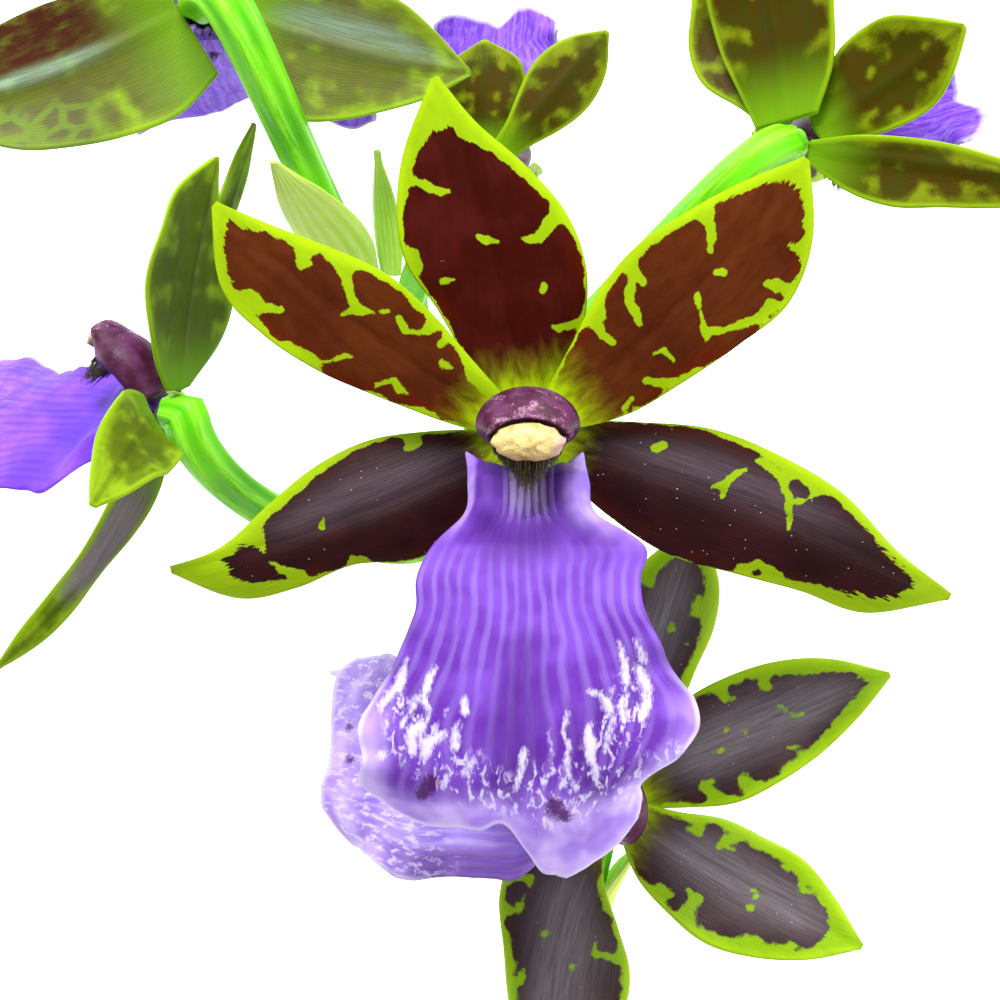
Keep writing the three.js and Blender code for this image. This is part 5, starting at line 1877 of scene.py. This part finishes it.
# the open flower's lip, seen from its front: white streaks, finely mottled places,
# deep violet places with a painted shadow beside the throat's left wall, and purple spots
LIP_WHITE = (
    ((-12.1, -22.7, 0.15), (-13.1, -25.6, 0.5), (-14.6, -27.2, 0.3)),
    ((-9.1, -23.5, 0.1), (-10.1, -25.2, 0.3), (-10.4, -26.7, 0.3), (-9.7, -27.9, 0.25),
     (-10.1, -28.9, 0.1)),
    ((-11.0, -26.3, 0.2), (-11.6, -27.6, 0.3), (-12.5, -29.2, 0.35)),
    ((-10.7, -29.3, 0.45), (-11.7, -29.8, 0.55), (-11.6, -31.9, 0.3)),
    ((-7.1, -29.2, 0.2), (-7.3, -31.3, 0.3)),
    ((-8.5, -30.1, 0.25), (-10.1, -31.3, 0.4), (-10.2, -32.4, 0.25)),
    ((-7.9, -27.5, 0.1), (-8.4, -28.2, 0.2)),
    ((-6.4, -26.7, 0.1), (-6.4, -27.9, 0.2)),
    ((-5.0, -31.9, 0.2), (-5.8, -33.3, 0.35), (-6.4, -34.1, 0.25)),
    ((-14.5, -32.3, 0.4),),
    ((8.9, -20.9, 0.1), (9.6, -23.0, 0.25), (9.8, -25.0, 0.2)),
    ((11.0, -20.7, 0.1), (11.6, -22.9, 0.3)),
    ((11.2, -23.7, 0.35), (11.9, -25.6, 0.6), (11.8, -27.3, 0.5), (11.3, -28.7, 0.2)),
    ((9.6, -26.4, 0.2), (9.3, -27.6, 0.35), (9.6, -28.9, 0.2)),
    ((6.0, -26.0, 0.1), (7.2, -26.1, 0.2), (8.2, -27.5, 0.3), (8.4, -29.2, 0.35), (8.1, -30.6, 0.3),
     (7.8, -31.9, 0.25)),
    ((6.1, -29.2, 0.15), (6.0, -30.1, 0.3), (6.4, -31.3, 0.35), (6.3, -32.5, 0.3), (7.0, -34.4, 0.2)),
    ((3.8, -28.1, 0.08), (3.5, -30.1, 0.2), (4.0, -31.3, 0.2), (4.0, -33.6, 0.25), (4.4, -35.3, 0.2)),
    ((2.1, -29.8, 0.1), (2.4, -32.2, 0.2)),
    ((-0.3, -31.8, 0.1), (-0.8, -34.4, 0.25), (-1.4, -35.9, 0.25)),
)
LIP_MOTTLE = (
    ((-13.6, -27.0, 1.2), (-11.6, -30.5, 2.4), (-8.5, -33.6, 2.4), (-4.0, -35.6, 2.0),
     (-1.5, -36.6, 1.6)),
    ((2.1, -36.4, 3.2),),
    ((10.6, -25.0, 1.4), (9.4, -29.0, 2.2), (7.6, -33.4, 2.4), (5.0, -36.6, 2.2)),
    ((14.6, -32.6, 1.2), (12.6, -34.0, 1.6), (9.4, -35.8, 1.6)),
)
LIP_DEEP_AND_SHADOW = (
    ((-2.2, -30.6, 0.4), (-2.2, -32.6, 1.3), (-2.3, -34.6, 1.7)),
    ((4.4, -28.2, 0.4), (5.0, -31.6, 0.6), (6.7, -35.5, 0.8)),
    ((7.3, -26.7, 0.5), (7.3, -31.3, 0.5)),
    ((10.6, -23.3, 0.3), (10.6, -27.3, 0.4)),
    ((-11.0, -26.7, 0.4), (-11.0, -29.3, 0.5)),
    # a painted shadow beside the throat's left wall, then the deep violet below the callus
    ((-4.6, -4.0, 0.5), (-4.4, -8.4, 0.7), (-3.0, -10.8, 1.1), (1.2, -10.8, 1.1)),
    ((-0.6, -22.0, 1.0), (-1.0, -29.0, 2.4), (-1.4, -33.0, 2.2)),
)
LIP_SPOTS = (
    ((-9.7, -34.8, 0.8), (-10.4, -36.2, 0.75)),
    ((2.6, -37.5, 0.8), (3.5, -38.2, 0.75)),
)


class Wardrobe:
    """Every finish of the plant, made as a material when it is first asked for."""

    def __init__(self) -> None:
        """Builds the shared effects."""
        self.effects = shared_effects()
        self.made: dict[Finish, bpy.types.Material] = {}

    def material(self, finish: Finish) -> bpy.types.Material:
        """A finish's one material.

        Args:
            finish: of a piece.

        Returns:
            Its material, made once.
        """
        if finish not in self.made:
            self.made[finish] = finish.material(self.effects)
        return self.made[finish]


@dataclass
class Bloom:
    """Builds and dresses one flower's pieces."""

    flower: Flower
    wardrobe: Wardrobe
    hair: NodeRecipe
    seed: int
    column_rings: tuple[int, int] = (36, 56)
    cap_rings: tuple[int, int] = (40, 24)
    bract_grid: tuple[int, int] = (60, 28)
    hair_grid: tuple[int, int] = (9, 21)

    def build(self) -> None:
        """Makes every piece of the flower."""
        for number, part in enumerate(TEPAL_NAMES):
            self.tepal(part, self.seed * 10 + number)
        self.lip()
        self.column()
        self.bract()

    def piece(self, part: str, shape: Shape, finish: Finish, slot: Slot, values: dict[str, Columns]) -> None:
        """Makes one piece of the flower in its node's stead.

        Args:
            part: its node's name in the flower.
            shape: in the spray's millimetres.
            finish: what it is dressed in.
            slot: the record's finish that it stands for.
            values: the columns of numbers that its finish reads, by name.
        """
        node = f"{self.flower.name}_{part}"
        mesh = new_mesh(f"{node}_skin", shape.points, [], shape.faces)
        mesh.shade_smooth()
        for name, columns in values.items():
            store(mesh, name, *columns)
        mesh.materials.append(self.wardrobe.material(finish))
        show(mesh, slot, node)

    def tepal(self, part: str, seed: int) -> None:
        """Makes one petal or sepal.

        Args:
            part: its name in the flower.
            seed: of its marks, where they aren't its own.
        """
        flower = self.flower
        blade: Blade = getattr(flower, part)
        shape = closed_sheet(blade.place, BLADE_THICKNESS, *flower.grid)
        u, v = shape.u, shape.v
        width = blade.half_width(u, v)
        s, t = u * blade.length, v * width
        own = dict(flower.markings).get(part)
        plane = flower.from_front(shape.points) if own else np.column_stack((s, t))
        green = (own or grown_marking(blade, seed)).field(blade, u, v, plane)
        edge = np.minimum((1 - np.abs(v)) * width, (1 - u) * blade.length)
        finish = WARM_TEPALS[part] if flower.look is Look.WARM else TEPALS[flower.look]
        sheen_net_and_dusk = self.sheen_net_and_dusk(part, shape)
        self.piece(part, flower.moved(shape), finish, Slot(part.split("_")[1]), {
            "place": (u, v, shape.face), "flat": (s, t, edge), "sheen_net_and_dusk": sheen_net_and_dusk, "green": (green,)})

    def sheen_net_and_dusk(self, part: str, shape: Shape) -> tuple[Array, Array, Array]:
        """How much painted sheen, net and dusk each point of a tepal gets, from 0 to 1.

        Args:
            part: the tepal's name in the flower.
            shape: its blade.

        Returns:
            The three values.
        """
        u, v, none = shape.u, shape.v, np.zeros(len(shape.u))
        look = self.flower.look
        belly = smooth(0.05, 0.3, u) * smooth(1, 0.7, u)
        # the first value of each is painted sheen, here a grey reflection along each side sepal's upper half
        if look is Look.WARM and part in ("left_sepal", "right_sepal"):
            upward = v if part == "right_sepal" else -v
            return 0.62 * bell(upward, 0.3, 0.34) * smooth(0.05, 0.25, u) * smooth(0.85, 0.5, u), none, none
        if look is Look.DEEP:
            return 0.6 * bell(v, 0.1, 0.5) * belly, none, none
        if look is Look.OLIVE and part == "right_sepal":
            return 1.3 * smooth(0.05, 0.3, u) * smooth(0.7, 0.5, u) * smooth(1, 0.6, np.abs(v)), none, none
        if look is Look.OLIVE:
            return 0.3 * belly * (shape.face > 0), none, none
        if look is Look.PALE and part == "right_sepal":
            return (0.75 * bell(v, 0.1, 0.1) * smooth(0.15, 0.45, u),
                    smooth(-0.2, -0.5, v) * smooth(0.3, 0.5, u),
                    smooth(0.08, 0.32, v) * smooth(0.15, 0.35, u))
        if look is Look.PALE and part == "left_sepal":
            return 0.6 * bell(v, -0.32, 0.22) * belly, none, 0.35 * smooth(-0.55, -0.8, v)
        return none, none, 0.3 * smooth(0.3, 0.6, u) if look is Look.PALE else none

    def lip(self) -> None:
        """Makes the lip with its stripes, feathering and spots."""
        flower, lip, look = self.flower, self.flower.lip, self.flower.lip_look
        shape = closed_sheet(lip.place, LIP_THICKNESS, *flower.lip_grid)
        u, v = shape.u, shape.v
        down = lip.down(u, v)
        width = lip.half_width(down, v)
        x, y = v * width, -(down - lip.throat) * lip.drop
        edge = np.minimum((1 - np.abs(v)) * width, (1 - u) * lip.drop)
        shoulders = (0.8 * smooth(0.24, 0.14, down) * smooth(0.45, 0.8, v)
                     + 0.6 * smooth(0.22, 0.15, down) * smooth(-0.8, -0.9, v))
        lobe = smooth(4.2, 1.0, edge) * smooth(0.5, 0.75, down) + smooth(0.76, 0.86, down) * 0.8
        lobe = np.clip(lobe + lip.walls * shoulders, 0, 1)
        if look is LipLook.OPEN:
            seen = flower.from_front(shape.points)
            white, spot = stroke_field(seen, LIP_WHITE), stroke_field(seen, LIP_SPOTS)
            mottle = smooth(-1.0, 0.6, stroke_field(seen, LIP_MOTTLE))
            # the deep places include a painted shadow beside the throat's left wall
            deep = 0.8 * smooth(-2.2, 1.2, stroke_field(seen, LIP_DEEP_AND_SHADOW))
        else:
            white = np.full(len(u), FAR_OUTSIDE)
            spot = stroke_field(np.column_stack((x, y)), flower.lip_spots)
            mottle = smooth(0.35, 0.6, down) * (1.0 if look is LipLook.FADED else 0.4)
            deep = 0.8 * smooth(0.45, 0.15, down) * smooth(1, 0.4, np.abs(v))
        if look is LipLook.FADED:
            deep = np.maximum(deep, 0.75 * smooth(0.6, 0.74, v))
        self.piece("lip", flower.moved(shape), LIPS[look], Slot.LIP, {
            "place": (down, v, shape.face), "flat": (x, y, edge), "zone": (mottle, lobe, lip.ridges(down, v)),
            "deep": (deep,), "white": (white,), "spot": (spot,)})

    def column(self) -> None:
        """Makes the column, its anther cap and the hairs under it."""
        flower, column = self.flower, self.flower.column
        shape = flower.moved(column.body(*self.column_rings))
        fleck = 0.75 * smooth(0.5, 0.75, shape.u) * smooth(0.2, 0.9, shape.v)
        fleck = np.maximum(fleck, smooth(0.9, 1.0, shape.u)) - 1.2
        self.piece("column", shape, ColumnFinish(), Slot.COLUMN, {
            "place": (shape.u, shape.v, shape.face), "fleck": (fleck,)})
        cap = flower.moved(column.anther_cap(*self.cap_rings))
        self.piece("anther_cap", cap, WaxFinish(), Slot.CAP, {"place": (cap.u, cap.v, cap.face)})
        name, material = f"{flower.name}_column_hair", self.wardrobe.material(HAIR)
        show(self.hair.run(self.hair_guide(), name, Seed=self.seed, Material=material), Slot.COLUMN)

    def hair_guide(self) -> bpy.types.Mesh:
        """The hairy strip on the column's underside, with the way and reach of its hairs."""
        column, flower = self.flower.column, self.flower
        rows, across = self.hair_grid
        u, x = flat_grid(np.linspace(*HAIR_REACH, rows), np.linspace(-1, 1, across))
        point, along, top = column.axis(u)
        under = -through(column.low, u) * np.sqrt(np.maximum(1 - (HAIR_STRIP * x) ** 2, 0)) * 0.97
        local = point + top * under[:, None]
        local[:, 0] = HAIR_STRIP * x * through(column.half, u)
        mesh = new_mesh("hairy strip", flower.to_spray(local), [], grid_faces(rows, across, False))
        comb = -top + 0.25 * along
        comb[:, 0] = -0.3 * x
        store(mesh, "comb", *(flower.to_spray(comb) - np.array(flower.centre)).T)
        store(mesh, "reach", (1 - HAIR_FALL * np.abs(x)) * flower.scale)
        return mesh

    def bract(self) -> None:
        """Makes the bract at the foot of the stalk."""
        flower, foot = self.flower, self.flower.foot
        point, travel = flower.stalk.at_length(flower, foot.along)
        if foot.heading:
            travel = unit(foot.heading)
        out = unit(np.array(foot.side) - travel * np.dot(travel, foot.side))
        place = np.array(foot.point) if foot.point else point + out * BRACT_OFFSET
        shape = closed_sheet(flower.bract.place, BLADE_THICKNESS, *self.bract_grid)
        shape.points = shape.points @ np.array((travel, np.cross(out, travel), out)) + place
        self.piece("bract", shape, PAPERY_BRACT, Slot.BRACT, {"along": (shape.u,), "around": (shape.v / 2,)})


@dataclass
class FlowerStem:
    """The flower stem and its six stalks, swept as ribbed rods."""

    flowers: tuple[Flower, ...]
    material: bpy.types.Material
    recipe: NodeRecipe
    stem_points: int = 120
    stalk_points: int = 60

    def build(self) -> None:
        """Makes the stem's and each stalk's piece."""
        share = np.linspace(0, 1, self.stem_points)
        self.rod("stem", stem_line(share), between(STEM_RADII, share), 0)
        for flower in self.flowers:
            self.stalk(flower)

    def stalk(self, flower: Flower) -> None:
        """Makes one ribbed stalk, flared at its foot, with the ovary and seat at its end.

        Args:
            flower: that it carries.
        """
        t = np.linspace(0, 1, self.stalk_points)
        line = flower.stalk.curve(flower, t)
        ovary = flower.stalk.ovary * math.sqrt(flower.scale)
        radii = between((STALK_RADIUS_LOW, ovary), t ** STALK_SWELL)
        radii = radii + STALK_FLARE * smooth(6, 1, lengths(line))
        facing = unit(flower.facing) * flower.scale
        seat = [np.array(flower.centre) + facing * height for height in SEAT_HEIGHTS]
        radii = np.concatenate((radii, np.array((1, 1, 0.9)) * SEAT_RADIUS * flower.scale))
        self.rod(f"{flower.name}_stalk", np.vstack((line, seat)), radii, STALK_RIBS)

    def rod(self, name: str, line: Array, radii: Array, ribs: int) -> None:
        """Sweeps one rod.

        Args:
            name: of the piece, without its ending.
            line: its middle line.
            radii: its thickness at each point of the line.
            ribs: how many ribs run along it.
        """
        mesh = new_mesh(name, line, [(i, i + 1) for i in range(len(line) - 1)], [])
        store(mesh, "thickness", radii * MILLIMETRE)
        result = self.recipe.run(mesh, f"{name}_skin", Ribs=ribs, Material=self.material)
        for vertex in result.vertices:
            vertex.co.z = max(vertex.co.z, 0.0)
        show(result, Slot.STEM, "flower_stem")


# ---------------------------------------------------------------- floor, light, camera

@dataclass(frozen=True)
class Studio:
    """The white floor, the soft lights and the camera that looks straight down."""

    floor_half: float = 1.6
    floor_gap: float = 0.0004
    fill: float = 0.55

    def build(self) -> None:
        """Sets it all up."""
        half, low = self.floor_half, -self.floor_gap
        mesh = bpy.data.meshes.new("floor")
        mesh.from_pydata([(-half, -half, low), (half, -half, low), (half, half, low), (-half, half, low)], [],
                         [(0, 1, 2, 3)])
        mesh.materials.append(FLOOR.material())
        floor = placed("floor", mesh)

        world = bpy.data.worlds.new("white room")
        world.use_nodes = True
        room = world.node_tree.nodes["Background"].inputs
        room["Color"].default_value, room["Strength"].default_value = (1, 1, 1, 1), self.fill
        bpy.context.scene.world = world
        self.lamp("window", (-0.12, 0.5, 0.5), 0.4, 9.0)
        self.lamp("side", (0.6, 0.0, 0.5), 0.4, 3.0)
        bpy.context.scene.view_settings.view_transform = "Standard"

        camera = bpy.data.cameras.new("camera")
        camera.lens, camera.sensor_width = LENS, SENSOR
        camera.clip_start, camera.clip_end = 0.01, 10
        bpy.context.scene.camera = placed("camera", camera)
        bpy.context.scene.camera.location = Vector((-MIDDLE[0], -MIDDLE[1], EYE_HEIGHT)) * MILLIMETRE

    @staticmethod
    def lamp(name: str, place: Triple, size: float, power: float) -> None:
        """Adds a soft lamp that points at the spray's middle.

        Args:
            name: of the lamp.
            place: in metres.
            size: of its square, in metres.
            power: in watts.
        """
        light = bpy.data.lights.new(name, "AREA")
        light.size, light.energy = size, power
        thing = placed(name, light)
        thing.location = place
        thing.rotation_euler = (Vector(place) - Vector(LAMP_AIM)).to_track_quat("Z", "Y").to_euler()


def main() -> None:
    """Builds the spray and its studio in order."""
    logging.basicConfig(level=logging.INFO, format="%(message)s")
    Studio().build()
    wardrobe = Wardrobe()
    FlowerStem(FLOWERS, wardrobe.material(GREEN_STALK), ribbed_stalk_recipe()).build()
    hair = hair_recipe()
    for number, flower in enumerate(FLOWERS):
        Bloom(flower, wardrobe, hair, seed=FIRST_SEED + number).build()


if __name__ == "__main__":
    main()
